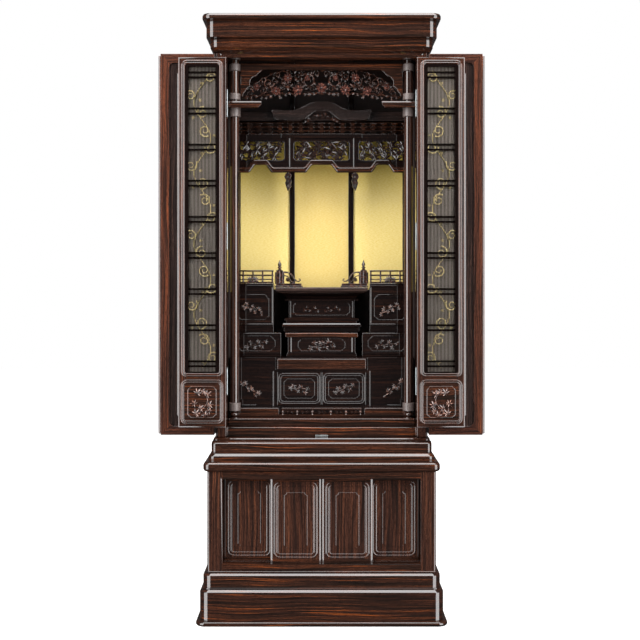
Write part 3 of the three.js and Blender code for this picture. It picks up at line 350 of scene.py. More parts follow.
def from_solid(node, width=1.5 * MM, segments=3):
    """A copy of a CAD node, merged and with its edges rounded."""
    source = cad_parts[node]
    piece = source.copy()
    piece.data = source.data.copy()
    piece.parent = None
    for key in list(piece.keys()):
        del piece[key]
    bpy.context.scene.collection.objects.link(piece)
    choose(piece, "VERT", lambda place: True)
    bpy.ops.mesh.remove_doubles(threshold=1e-5)
    bpy.ops.mesh.dissolve_limited(angle_limit=math.radians(1))
    bpy.ops.object.mode_set(mode="OBJECT")
    if width:
        soften(piece, width, segments)
    return piece


# Studio
def softbox(name, place, target, width, height, power, glossy=True):
    bpy.ops.object.light_add(type="AREA", location=place)
    lamp = bpy.context.object
    lamp.name = name
    lamp.data.shape = "RECTANGLE"
    lamp.data.size = width
    lamp.data.size_y = height
    lamp.data.energy = power
    lamp.rotation_euler = (Vector(target) - Vector(place)).to_track_quat("-Z", "Y").to_euler()
    lamp.visible_glossy = glossy


def light_studio():
    scene = bpy.context.scene
    scene.view_settings.view_transform = "Standard"
    world = bpy.data.worlds.new("Studio")
    scene.world = world
    world.use_nodes = True
    tree = world.node_tree
    tree.nodes.clear()
    seen = add(tree, "LightPath").outputs["Is Camera Ray"]
    dim = add(tree, "Background", {"Color": (1, 1, 1, 1), "Strength": 0.08})
    white = add(tree, "Background", {"Color": (1, 1, 1, 1), "Strength": 1.0})
    mixed = add(tree, "MixShader", (), {0: seen, 1: dim.outputs[0], 2: white.outputs[0]})
    add(tree, "OutputWorld", (), {"Surface": mixed.outputs[0]})
    for side in (-1, 1):
        softbox("Side softbox", (side * 1.56, -2.0, 0.8), (-side * 0.12, -0.14, 0.8), 1.75, 3.4, 190)
    softbox("Top softbox", (0, -1.0, 2.7), (0, -0.5, 0.8), 2.6, 2.0, 190)
    softbox("Back fill", (0, 3.0, 1.6), (0, 0.3, 0.8), 2.4, 1.6, 130, False)


def lay_floor():
    bpy.ops.mesh.primitive_plane_add(size=16)
    floor = bpy.context.object
    floor.name = "Studio floor"
    material, tree = new_material("White studio floor")
    finish_material(tree, {"Base Color": (0.3, 0.3, 0.3, 1), "Roughness": 0.9,
                           "Emission Color": (1, 1, 1, 1), "Emission Strength": 0.97}, {})
    floor.data.materials.append(material)
    floor.visible_glossy = False
    floor.visible_diffuse = False


# Forms
def slab(x0, x1, y0, y1, z0, z1, edge=1.2 * MM, segments=2):
    """A planed board with rounded edges."""
    bpy.ops.mesh.primitive_cube_add(size=1, location=((x0 + x1) / 2, (y0 + y1) / 2, (z0 + z1) / 2))
    piece = bpy.context.object
    piece.scale = (x1 - x0, y1 - y0, z1 - z0)
    bpy.ops.object.transform_apply(location=True, rotation=True, scale=True)
    return soften(piece, edge, segments) if edge else piece


def rounded(x0, x1, z0, z1, radius, steps=7):
    """An upright rectangle with round corners, or cut ones with steps=1."""
    corners = [(x1 - radius, z0 + radius), (x1 - radius, z1 - radius), (x0 + radius, z1 - radius),
               (x0 + radius, z0 + radius)]
    points = []
    for turn, (x, z) in enumerate(corners):
        for step in range(steps + 1):
            angle = QUARTER * (turn - 1 + step / steps)
            points.append((x + radius * math.cos(angle), z + radius * math.sin(angle)))
    return points


def rect(x0, x1, z0, z1):
    return [(x0, z0), (x1, z0), (x1, z1), (x0, z1)]


def to_mesh(drawing):
    piece = bpy.data.objects.new("Drawn", drawing)
    bpy.context.scene.collection.objects.link(piece)
    focus(piece)
    bpy.ops.object.convert(target="MESH")
    return bpy.context.object


def sawn(outlines, front, back, edge=1 * MM, rings=2, flat=1.0):
    """A board cut to outlines in x and z, the first its rim and the others its holes, with rounded edges."""
    depth = (back - front) / flat
    drawing = bpy.data.curves.new("Outline", "CURVE")
    drawing.dimensions = "2D"
    drawing.fill_mode = "BOTH"
    drawing.extrude = max(depth / 2 - edge, 0)
    drawing.bevel_depth = edge
    drawing.bevel_resolution = rings
    drawing.offset = -edge
    for outline in outlines:
        line = drawing.splines.new("POLY")
        line.points.add(len(outline) - 1)
        line.use_cyclic_u = True
        for point, (x, z) in zip(line.points, outline):
            point.co = (x, z, 0, 1)
    piece = to_mesh(drawing)
    piece.rotation_euler.x = QUARTER
    piece.location.y = front + depth / 2
    bpy.ops.object.transform_apply(location=True, rotation=True, scale=True)
    choose(piece, "VERT", lambda place: True)
    bpy.ops.mesh.remove_doubles(threshold=1e-6)
    bpy.ops.mesh.normals_make_consistent(inside=False)
    bpy.ops.object.mode_set(mode="OBJECT")
    return smooth(flatter(piece, front, flat))


def rod(points, radius, closed=False, rings=3, taper=None):
    """A round bead or stem along points."""
    drawing = bpy.data.curves.new("Rod", "CURVE")
    drawing.dimensions = "3D"
    drawing.bevel_depth = radius
    drawing.bevel_resolution = rings
    drawing.use_fill_caps = not closed
    line = drawing.splines.new("POLY")
    line.points.add(len(points) - 1)
    line.use_cyclic_u = closed
    for i, (point, place) in enumerate(zip(line.points, points)):
        point.co = (*place, 1)
        point.radius = taper(i / (len(points) - 1)) if taper else 1
    return smooth(to_mesh(drawing), 60)


def bead(outline, y, radius, rings=3, flat=1.0):
    """A bead planted on a face at y, along an outline in x and z, round or lower."""
    return flatter(rod([(x, y, z) for x, z in outline], radius, True, rings), y, flat)


def quarter(h0, h1, inset0, inset1, steps=5):
    """Levels round an edge, from upright at h0 to flat at h1."""
    turns = [QUARTER * (i + 1) / steps for i in range(steps)]
    return [(h0 + (h1 - h0) * math.sin(a), inset0 + (inset1 - inset0) * (1 - math.cos(a))) for a in turns]


def chamfer(top, size, inset=0.0):
    """Levels of a flat bevel of 45 degrees along the top edge, with its two arrises just rounded."""
    shares = [(-1.15, 0), (-0.95, 0.04), (-0.85, 0.12), (-0.12, 0.85), (-0.03, 0.96), (0, 1.15)]
    return [(top + h * size, inset + i * size) for h, i in shares]


def eased(h0, h1, radius, inset=0.0):
    """Levels of a board from h0 to h1 with both its edges rounded over."""
    lower = [(h0 + h1 - h, i) for h, i in quarter(h1 - radius, h1, inset, inset + radius)][::-1]
    return lower + [(h0 + radius, inset), (h1 - radius, inset)] + quarter(h1 - radius, h1, inset,
                                                                          inset + radius)


def moulded(x0, x1, front, back, z, corner, levels):
    """A block with rounded front corners, drawn up level by level: (height, side inset, front inset)."""
    middle, half, depth = (x0 + x1) / 2, (x1 - x0) / 2, back - front
    levels = [(level + level[-1:])[:3] for level in levels]
    bpy.ops.mesh.primitive_plane_add(size=1, location=(middle, (front + back) / 2, z))
    piece = bpy.context.object
    piece.scale = (x1 - x0, depth, 1)
    bpy.ops.object.transform_apply(location=True, rotation=True, scale=True)
    choose(piece, "VERT", lambda place: place.y < (front + back) / 2)
    bpy.ops.mesh.bevel(affect="VERTICES", offset=corner, segments=8)
    bpy.ops.mesh.select_all(action="SELECT")
    height, side, face = 0, 0, 0
    for i, (next_height, next_side, next_face) in enumerate(levels):
        if i:
            bpy.ops.mesh.extrude_region_move(TRANSFORM_OT_translate={"value": (0, 0, next_height - height)})
        else:
            bpy.ops.transform.translate(value=(0, 0, next_height))
        scale = ((half - next_side) / (half - side), (depth - next_face) / (depth - face), 1)
        bpy.ops.transform.resize(value=scale, center_override=(middle, back, z + next_height))
        height, side, face = next_height, next_side, next_face
    bpy.ops.mesh.select_all(action="SELECT")
    bpy.ops.mesh.normals_make_consistent(inside=False)
    bpy.ops.object.mode_set(mode="OBJECT")
    return smooth(piece)


def moulded_on(node, corner, levels):
    low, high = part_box(node)
    return moulded(low.x, high.x, low.y, high.y, low.z, corner, levels)


def turned(x, y, levels, sides=32):
    """A turned piece on an upright axis: (height, radius) level by level."""
    (height, radius), *rest = levels
    bpy.ops.mesh.primitive_circle_add(vertices=sides, radius=radius, fill_type="NGON",
                                      location=(x, y, height))
    piece = bpy.context.object
    bpy.ops.object.transform_apply(location=True, rotation=True, scale=True)
    choose(piece, "FACE", lambda centre, normal: True)
    for next_height, next_radius in rest:
        bpy.ops.mesh.extrude_region_move(TRANSFORM_OT_translate={"value": (0, 0, next_height - height)})
        share = next_radius / radius
        bpy.ops.transform.resize(value=(share, share, 1), center_override=(x, y, next_height))
        height, radius = next_height, next_radius
    bpy.ops.mesh.select_all(action="SELECT")
    bpy.ops.mesh.normals_make_consistent(inside=False)
    bpy.ops.object.mode_set(mode="OBJECT")
    return smooth(piece)


def grained(piece, upright, level, test):
    """Gives the faces that pass the test the upright grain, and the rest the level grain."""
    piece.data.materials.clear()
    piece.data.materials.append(level)
    piece.data.materials.append(upright)
    for face in piece.data.polygons:
        face.material_index = int(test(face.center))
    return piece


# Carving patterns, each modelled once at the size 1 and copied
def maple_leaf():
    """Seven narrow pointed lobes with a raised middle."""
    bpy.ops.mesh.primitive_circle_add(vertices=28, radius=1, fill_type="TRIFAN", rotation=(QUARTER, 0, 0))
    leaf = bpy.context.object
    bpy.ops.object.transform_apply(location=True, rotation=True, scale=True)
    reach = [1.0, 0.94, 0.82, 0.6, 0.6, 0.82, 0.94]
    for vertex in leaf.data.vertices:
        flat = math.hypot(vertex.co.x, vertex.co.z)
        if flat < 0.1:
            vertex.co.y = -0.2
            continue
        step = round(math.atan2(vertex.co.x, vertex.co.z) % math.tau / (math.tau / 28)) % 28
        lobe, part = divmod(step, 4)
        length = reach[(lobe + (part == 3)) % 7]
        share = (1.0, 0.56, 0.3, 0.56)[part] * length
        vertex.co.x, vertex.co.z = vertex.co.x / flat * share, vertex.co.z / flat * share
        vertex.co.y = (-0.02, -0.16, 0.04, -0.16)[part]
    apply_modifier(leaf, "SOLIDIFY", thickness=0.12, offset=-1)
    return smooth(leaf, 20)


def scroll():
    """A tapering tendril that curls in on itself."""
    points = []
    for i in range(26):
        angle = 0.36 * i
        reach = 0.06 + 0.94 * math.exp(-0.16 * angle)
        points.append((reach * math.cos(angle), -0.1 * i / 26, reach * math.sin(angle)))
    return rod(points, 0.13, rings=1, taper=lambda share: 1 - 0.6 * share)


def blossom():
    """A star flower of ten pointed petals with a domed eye."""
    bpy.ops.mesh.primitive_circle_add(vertices=40, radius=1, fill_type="TRIFAN", rotation=(QUARTER, 0, 0))
    petals = bpy.context.object
    bpy.ops.object.transform_apply(location=True, rotation=True, scale=True)
    for vertex in petals.data.vertices:
        if math.hypot(vertex.co.x, vertex.co.z) < 0.1:
            vertex.co.y = -0.1
            continue
        step = round(math.atan2(vertex.co.x, vertex.co.z) % math.tau / (math.tau / 40)) % 4
        share = (1.0, 0.74, 0.34, 0.74)[step]
        vertex.co.x, vertex.co.z = vertex.co.x * share, vertex.co.z * share
        vertex.co.y = (-0.06, -0.24, 0.06, -0.24)[step]
    apply_modifier(petals, "SOLIDIFY", thickness=0.12, offset=-1)
    bpy.ops.mesh.primitive_uv_sphere_add(segments=10, ring_count=6, radius=0.2, location=(0, -0.16, 0))
    eye = bpy.context.object
    bpy.ops.object.transform_apply(location=True, rotation=True, scale=True)
    return smooth(joined([petals, eye]), 25)


def stamp(pattern, x, y, z, size, turn=0.0, flip=1):
    """A copy of a carving pattern, set on a face at y."""
    twin = copied(pattern)
    place = Matrix.Translation((x, y, z)) @ Matrix.Rotation(turn, 4,
                                                            "Y") @ Matrix.Diagonal((size * flip, size, size,
                                                                                    1))
    twin.data.transform(place)
    if flip < 0:
        twin.data.flip_normals()
    return twin


def branch(x, y, z, width, rise, leaves=4, seed=1):
    """A slanting stem with leaves on both sides."""
    draw = random.Random(seed)
    reach = width / 2
    stem = []
    for i in range(9):
        share = 2 * i / 8 - 1
        stem.append((x + reach * share, y, z + rise / 2 * share + 0.06 * width * math.sin(3 * share)))
    parts = [rod(stem, 0.02 * width, rings=1, taper=lambda share: 1.2 - 0.7 * share)]
    for i in range(leaves):
        share = 2 * (i + 0.5) / leaves - 1
        lift = (0.1 if i % 2 else -0.1) * width
        size = width * draw.uniform(0.13, 0.18)
        parts.append(stamp(leaf_pattern, x + reach * share, y, z + rise / 2 * share + lift, size,
                           draw.uniform(0, 6)))
        if i < leaves - 1:
            parts.append(stamp(scroll_pattern, x + reach * (share + 1 / leaves), y,
                               z + rise / 2 * share - lift * 0.7,
                               width * 0.06, draw.uniform(0, 6)))
    return parts


add_camera()
light_studio()
lay_floor()
leaf_pattern = maple_leaf()
scroll_pattern = scroll()
blossom_pattern = blossom()


# Plinth, cupboard and seat
def build_base():
    foot = [(0, 5 * MM)] + [(12 * MM - h, i) for h, i in quarter(6 * MM, 12 * MM, 0, 5 * MM)][::-1]
    foot += quarter(6 * MM, 12 * MM, 0, 4 * MM) + [(12 * MM, 10 * MM)] + chamfer(93 * MM, 6.5 * MM, 10 * MM)
    fit(moulded_on("plinth_foot", 24 * MM, foot), "Plinth_foot", level_wood, "cabinet", "lacquered_wood",
        "plinth_foot")
    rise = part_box("plinth_step")[1].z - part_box("plinth_step")[0].z
    step = [(0, 0), (0.6 * MM, -1.6 * MM), (3.4 * MM, -1.6 * MM), (4.2 * MM, 0)] + chamfer(rise, 5.5 * MM)
    fit(moulded_on("plinth_step", 22 * MM, step), "Plinth_step", level_wood, "cabinet", "lacquered_wood",
        "plinth_step")

    case = from_solid("lower_case", 0)
    low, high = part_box("cupboard_door_left_outer")
    case_low, case_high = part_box("lower_case")
    edges = (low.x, -low.x, case_low.x, case_high.x)

    def stile_edge(a, b):
        upright = max(a.y, b.y) < case_low.y + 1e-5 and abs(a.x - b.x) < 1e-5
        return upright and min(abs(a.x - x) for x in edges) < 2 * MM

    round_edges(case, stile_edge, 5 * MM, case_low.y)
    soften(case, 1.2 * MM, 2, 60)
    for x in (low.x, -low.x):
        choose(case, "FACE", lambda centre, normal: True)
        bpy.ops.mesh.bisect(plane_co=(x, 0, 0), plane_no=(1, 0, 0))
        bpy.ops.object.mode_set(mode="OBJECT")
    grained(case, upright_wood, level_wood, lambda centre: abs(centre.x) > -low.x)
    foot_bead = rod([(-0.3, -0.2427, 0.1368), (0.3, -0.2427, 0.1368)], 2.2 * MM)
    foot_bead.data.materials.append(level_wood)
    case = joined([case, foot_bead])
    fit(case, "Cupboard_case", None, "cabinet", "lacquered_wood", "lower_case")

    for node, shape in (("lower_top", lambda rise: eased(0, rise, 9 * MM)),
                        ("top_board", lambda rise: [(0, 0)] + chamfer(rise, 7 * MM))):
        low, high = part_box(node)
        levels = shape(high.z - low.z)
        fit(moulded_on(node, 16 * MM, levels), node.title(), level_wood, "cabinet", "lacquered_wood", node)
    low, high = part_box("seat_board")
    rise = high.z - low.z
    ledge = 4 * MM
    seat = [(0, 0, 0), (rise - ledge - 9 * MM, 0, 0)]
    seat += [(h, i / 4, i) for h, i in quarter(rise - ledge - 9 * MM, rise - ledge, 0, 11 * MM)]
    seat += [(rise - ledge, 2 * MM, 33 * MM), (rise - 2 * MM, 2 * MM, 33 * MM), (rise, 3.5 * MM, 35 * MM)]
    fit(moulded_on("seat_board", 12 * MM, seat), "Ledge_board", level_wood, "cabinet", "lacquered_wood",
        "seat_board")


def notched(x0, x1, z0, z1, bite, steps=5):
    """A rectangle whose corners are bitten out by quarter rounds."""
    points = []
    for turn, (x, z) in enumerate([(x1, z0), (x1, z1), (x0, z1), (x0, z0)]):
        for step in range(steps + 1):
            angle = math.pi + QUARTER * turn - QUARTER * step / steps
            points.append((x + bite * math.cos(angle), z + bite * math.sin(angle)))
    return points


def build_cupboard_doors():
    for node in ("cupboard_door_left_inner", "cupboard_door_left_outer"):
        low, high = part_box(node)
        face = low.y + 4 * MM
        x0, x1, z0, z1 = low.x + 9 * MM, high.x - 9 * MM, low.z + 14 * MM, high.z - 14 * MM
        board = slab(low.x, high.x, face, high.y, low.z, high.z, 0)
        for z in (z0, z1):
            choose(board, "FACE", lambda centre, normal: True)
            bpy.ops.mesh.bisect(plane_co=(0, 0, z), plane_no=(0, 0, 1))
            bpy.ops.object.mode_set(mode="OBJECT")
        round_edges(board, lambda a, b: max(a.y, b.y) < face + 1e-5 and abs(a.x - b.x) < 1e-5, 9 * MM, face)
        grained(board, upright_wood, level_wood, lambda centre: z0 < centre.z < z1)
        inner, field = 7.6 * MM, 28 * MM
        beads = [bead(rounded(x0 + 2.8 * MM, x1 - 2.8 * MM, z0 + 2.8 * MM, z1 - 2.8 * MM, 15 * MM), face,
                      2.8 * MM, 3, 0.7),
                 bead(rounded(x0 + inner + 3 * MM, x1 - inner - 3 * MM, z0 + inner + 3 * MM,
                              z1 - inner - 3 * MM, 9 * MM),
                      face, 3 * MM, 3, 0.45),
                 sawn([notched(x0 + field, x1 - field, z0 + field, z1 - field, 7 * MM)], face - 1.2 * MM,
                      face + 2 * MM,
                      1.8 * MM, 2, 0.5)]
        for piece in beads:
            piece.data.materials.append(upright_wood)
        door = joined([board] + beads)
        other = mirrored(door)
        fit(door, node.title(), None, node, "lacquered_wood", node)
        node = node.replace("left", "right")
        fit(other, node.title(), None, node, "lacquered_wood", node)


# Upper case
def build_case():
    case = from_solid("upper_case", 0)
    opening = 261.5 * MM
    for x in (-opening, opening):
        choose(case, "FACE", lambda centre, normal: True)
        bpy.ops.mesh.bisect(plane_co=(x, 0, 0), plane_no=(1, 0, 0))
        bpy.ops.object.mode_set(mode="OBJECT")
    soften(case, 2.4 * MM, 3)
    grained(case, upright_wood, level_wood, lambda centre: abs(centre.x) > opening - 1 * MM)
    fit(case, "Upper_case", None, "cabinet", "lacquered_wood", "upper_case")
    fit(from_solid("inner_floor", 2 * MM), "Inner_floor", level_wood, "cabinet", "lacquered_wood",
        "inner_floor")

    low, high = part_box("cornice")
    rise, over, reach = high.z - low.z, 28.5 * MM, 58 * MM
    shares = [(-0.14, 1.06), (-0.1, 0.99), (-0.04, 0.86), (0.01, 0.76), (0.05, 0.68), (0.06, 0.63),
              (0.29, 0.62), (0.315, 0.64),
              (0.317, 0.36), (0.325, 0.32), (0.34, 0.31), (0.815, 0.31), (0.83, 0.34), (0.832, 0.06),
              (0.84, 0.02),
              (0.86, 0), (0.93, 0), (0.945, 0.01), (0.985, 0.055), (0.998, 0.075), (1, 0.1)]
    levels = [(h * rise, s * over, min(s, 0.99) * reach) for h, s in shares]
    fit(moulded_on("cornice", 22 * MM, levels), "Cornice", level_wood, "cabinet", "lacquered_wood", "cornice")

    low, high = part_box("door_catch")
    catch = joined([slab(low.x, high.x, low.y, high.y, low.z, high.z, 0.8 * MM),
                    slab(low.x + 3 * MM, -3 * MM, low.y, high.y, low.z, high.z, 1.6 * MM)])
    fit(catch, "Door_catch", steel, "cabinet", "catch_metal", "door_catch")


# Folding outer doors
def build_outer_doors():
    low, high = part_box("outer_door_left_far")
    recess, rail = 6 * MM, 24 * MM
    floor = low.y + recess
    ring = sawn([rect(low.x, high.x, low.z, high.z),
                 rounded(low.x + rail, high.x - rail, low.z + rail, high.z - rail, 14 * MM, 8)],
                low.y, floor + 3 * MM, 0.7 * MM, 2)
    corners = [(low.x, low.z, 1), (low.x, high.z, -1), (high.x, low.z, -1), (high.x, high.z, 1)]
    for x, z, way in corners:
        choose(ring, "FACE", lambda centre, normal: True)
        bpy.ops.mesh.bisect(plane_co=(x, 0, z), plane_no=(1, 0, -way))
        bpy.ops.object.mode_set(mode="OBJECT")
    smooth(ring)
    grained(ring, door_wood, door_rail_wood,
            lambda centre: min(centre.x - low.x, high.x - centre.x) < min(centre.z - low.z,
                                                                          high.z - centre.z))
    back = slab(low.x, high.x, floor, high.y, low.z, high.z, 1.2 * MM)
    field = slab(low.x + 44 * MM, high.x - 44 * MM, floor - 3 * MM, floor + 2 * MM, low.z + 52 * MM,
                 high.z - 52 * MM, 0)
    for piece in (back, field):
        piece.data.materials.append(door_field_wood)
    round_edges(field, lambda a, b: max(a.y, b.y) < floor - 2.9 * MM, 4 * MM, floor - 3 * MM, 0.5)
    leaf = joined([ring, back, field])
    leaves = {"left_far": leaf, "right_far": mirrored(leaf)}
    for side in ("left", "right"):
        far, near = f"outer_door_{side}_far", f"outer_door_{side}_near"
        centre = (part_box(far)[0].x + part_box(far)[1].x) / 2
        seam = (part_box(far)[1].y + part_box(near)[0].y) / 2
        twin = copied(leaves[f"{side}_far"])
        about = Matrix.Translation((centre, seam, 0))
        twin.data.transform(about @ Matrix.Rotation(math.pi, 4, "Z") @ about.inverted())
        near_low, near_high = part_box(near)
        x0, x1 = (near_low.x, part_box(far)[0].x) if side == "left" else (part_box(far)[1].x, near_high.x)
        overlap = 1 * MM
        x0, x1 = (x0, x1 + overlap) if side == "left" else (x0 - overlap, x1)
        lip = slab(x0, x1, near_low.y, near_high.y, near_low.z, near_high.z, 1.6 * MM)
        lip.data.materials.append(door_wood)
        leaves[f"{side}_near"] = joined([twin, lip])
    for name, piece in leaves.items():
        fit(piece, "Outer_door_" + name, None, "cabinet", "door_wood", "outer_door_" + name)


# Lattice screens
def build_screens():
    low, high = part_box("screen_frame_left_far")
    inner_low, inner_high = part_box("screen_insert_left_far")
    proud = 3 * MM
    face = low.y + proud
    x0, x1, z0, z1 = low.x, high.x, low.z, high.z
    w0, w1, v0, v1 = inner_low.x, inner_high.x, inner_low.z, inner_high.z
    lower_top = v0 - 21 * MM
    plate = sawn([rect(x0, x1, z0, z1), rect(w0, w1, v0, v1)], face, high.y, 3.4 * MM, 4, 0.4)
    wide, at = 2.8 * MM, 7 * MM
    mouldings = [plate]
    for inset in (at + wide, at + 3 * wide):
        turn = max(17 * MM - inset + at, 4 * MM)
        upper = rounded(x0 + inset, x1 - inset, v0 - 15 * MM + inset - at, z1 - inset, turn)
        lower = rounded(x0 + inset * 0.9, x1 - inset * 0.9, z0 + inset, lower_top - inset + at, turn)
        mouldings += [bead(outline, face, wide, 3, 0.6) for outline in (upper, lower)]
    mouldings.append(bead(rounded(x0 + 26 * MM, x1 - 26 * MM, z0 + 26 * MM, lower_top - 19 * MM, 9 * MM, 1),
                          face, 1.6 * MM, 3, 0.7))
    frame_piece = joined(mouldings)
    grained(frame_piece, upright_wood, level_wood, lambda centre: not w0 < centre.x < w1)
    # A thin black-brown ring beside the lattice: painted shade for the cove that falls dark there
    clear = at + 4 * wide
    shadow_ring = sawn([rounded(x0 + clear, x1 - clear, v0 - 15 * MM + clear - at, z1 - clear, 4 * MM),
                   rect(w0 + 0.2 * MM, w1 - 0.2 * MM, v0 + 0.2 * MM, v1 - 0.2 * MM)], face - 0.4 * MM,
                   face + 1 * MM, 0.3 * MM, 1)
    shadow_ring.data.materials.append(shadow_wood)
    frame_piece = joined([frame_piece, shadow_ring])

    middle, height = (x0 + x1) / 2, (z0 + lower_top) / 2
    stem = [(middle + 15 * MM * math.sin(4.4 * t - 1.2), face - 1 * MM, height + (t - 0.5) * 70 * MM)
            for t in [i / 12 for i in range(13)]]
    carving = [rod(stem, 1.0 * MM, rings=2)]
    draw = random.Random(4)
    for dx, dz, size in ((-12, 29, 15), (14, 25, 14), (2, 33, 12), (-20, 0, 14), (20, -4, 14), (-4, -12, 13),
                         (-16, -26, 15), (9, -30, 14), (20, -20, 12)):
        carving.append(stamp(leaf_pattern, middle + dx * MM, face - draw.uniform(0.3, 1.6) * MM,
                             height + dz * MM,
                             size * MM, draw.uniform(0, 6)))
    carving_piece = joined(carving)

    # Slats as fine as the real ones, at a pitch of 3.7 mm, in front of the nine pairs of cross bars, which are
    # painted black-brown as the shade of their recess
    pitch, count, front = (w1 - w0) / 20, 20, inner_low.y
    one = slab(w0, w0 + 1.6 * MM, front - 1.6 * MM, front + 2 * MM, v0, v1, 0.6 * MM, 2)
    slats = [copied(one, ((i + 0.5) * pitch - 0.8 * MM, 0, 0)) for i in range(count)]
    bpy.data.objects.remove(one)
    slats = joined(slats)
    slats.data.materials.append(slat_wood)
    bars = []
    for i in range(9):
        for offset in (-6.7 * MM, 6.7 * MM):
            z = v0 + 21 * MM + i * (v1 - v0 - 42 * MM) / 8 + offset
            bars.append(slab(w0, w1, front - 0.4 * MM, inner_high.y - 2 * MM, z - 2.5 * MM, z + 2.5 * MM,
                             0.5 * MM, 1))
    bars = joined(bars)
    # The cross bars take the black-brown painted shade
    bars.data.materials.append(shadow_wood)
    lattice = joined([slats, bars])
    cloth = slab(w0, w1, inner_high.y - 2 * MM, inner_high.y, v0, v1, 0.3 * MM, 1)
    vine = build_vine(w0, w1, v0, v1, front + 3.4 * MM)
    parts = {"Screen_frame": (frame_piece, None, "screen_wood"),
             "Screen_carving": (carving_piece, carving_with_painted_highlight, "carved_wood"),
             "Screen_lattice": (lattice, None, "screen_wood"), "Screen_silk": (cloth, silk, "silk_and_slats"),
             "Screen_vine": (vine, gold_thread, "silk_and_slats")}
    for name, (piece, material, slot) in parts.items():
        for side in ("left", "right"):
            side_piece = piece if side == "left" else mirrored(piece)
            centre = (low.x + high.x) / 2 * (1 if side == "left" else -1)
            seam = (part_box(f"screen_frame_{side}_far")[1].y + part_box(f"screen_frame_{side}_near")[0].y) / 2
            twin = copied(side_piece)
            about = Matrix.Translation((centre, seam, 0))
            twin.data.transform(about @ Matrix.Rotation(math.pi, 4, "Z") @ about.inverted())
            for leaf, copy in (("far", side_piece), ("near", twin)):
                tag = f"{side}_{leaf}"
                nodes = {"Screen_frame": [f"screen_frame_{tag}"],
                         "Screen_lattice": [f"screen_insert_{tag}"]}.get(name, [])
                fit(copy, f"{name}_{tag}", material, f"screen_{tag}", slot, *nodes)


def build_vine(x0, x1, z0, z1, y):
    """A scrolling vine in gold thread on the silk."""
    middle, width = (x0 + x1) / 2, x1 - x0
    rise, turns, steps = z1 - z0 - 20 * MM, 4.2, 120

    def at(share):
        return middle + 0.3 * width * math.sin(math.tau * turns * share), z0 + 10 * MM + rise * share

    parts = [rod([(at(i / steps)[0], y, at(i / steps)[1]) for i in range(steps + 1)], 1.6 * MM, rings=1)]
    for i in range(17):
        x, z = at((i + 0.5) / 17)
        side = -1 if i % 2 else 1
        parts.append(stamp(scroll_pattern, x + side * 12 * MM, y, z + 4 * MM, 18 * MM, 0.8 * i, side))
        parts.append(stamp(leaf_pattern, x - side * 13 * MM, y, z - 9 * MM, 7 * MM, 1.3 * i))
    return joined(parts)


# Pillars, arms and transom
def finished_by_height(piece, base, other, ranges):
    """Gives the faces between the pairs of heights the other finish."""
    return grained(piece, other, base, lambda centre: any(low < centre.z < high for low, high in ranges))


def build_pillars():
    low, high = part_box("pillar_left")
    x, y, base, top = (low.x + high.x) / 2, (low.y + high.y) / 2, low.z, high.z
    shaft, collar = 12.5 * MM, 16.4 * MM
    levels = [(0, 13.5), (1.6, 13.5), (2.2, 8), (3, 7), (4.5, 10), (7, 12.4), (10, 13.4), (13, 12.4),
              (16, 9.5), (18, 7), (19.6, 7),
              (19.8, 15.2), (20.8, 16.4), (42, 16.4), (43, 15.2), (43.2, 12.5)]
    levels = [(base + h * MM, r * MM) for h, r in levels]
    bands = [(base + 19.7 * MM, base + 43.1 * MM)]
    for upper, lower in ((127, 153), (88, 106), (5, 25)):
        z0, z1 = top - lower * MM, top - upper * MM
        levels += [(z0, shaft), (z0, collar - 1 * MM), (z0 + 1 * MM, collar), (z1 - 1 * MM, collar),
                   (z1, collar - 1 * MM), (z1, shaft)]
        bands.append((z0 - 0.1 * MM, z1 + 0.1 * MM))
    levels += [(top, shaft)]
    pillar = finished_by_height(turned(x, y, levels), upright_wood, collar_finish, bands)
    other = mirrored(pillar)
    fit(pillar, "Pillar_left", None, "cabinet", "pillar_wood", "pillar_left")
    fit(other, "Pillar_right", None, "cabinet", "pillar_wood", "pillar_right")

    low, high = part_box("arm_left")
    arm = from_solid("arm_left", 0)
    choose(arm, "EDGE", lambda a, b: min(a.z, b.z) > high.z - 1 * MM and max(a.y, b.y) < low.y + 1 * MM)
    bpy.ops.mesh.bevel(offset=6 * MM, segments=2, affect="EDGES")
    bpy.ops.object.mode_set(mode="OBJECT")
    soften(arm, 0.8 * MM, 2, 25)
    fit(mirrored(arm), "Arm_right", level_wood, "cabinet", "lacquered_wood", "arm_right")
    fit(arm, "Arm_left", level_wood, "cabinet", "lacquered_wood", "arm_left")


ARCH = [(-164.4, 1497.5), (-172, 1492), (-178.5, 1485.7), (-184, 1479.5), (-189.7, 1478.3), (-196, 1474),
        (-200.5, 1467),
        (-202.3, 1458), (-200.5, 1449.5), (-206, 1447.5), (-212, 1442), (-215.5, 1434), (-219.5, 1431),
        (-221.5, 1422)]


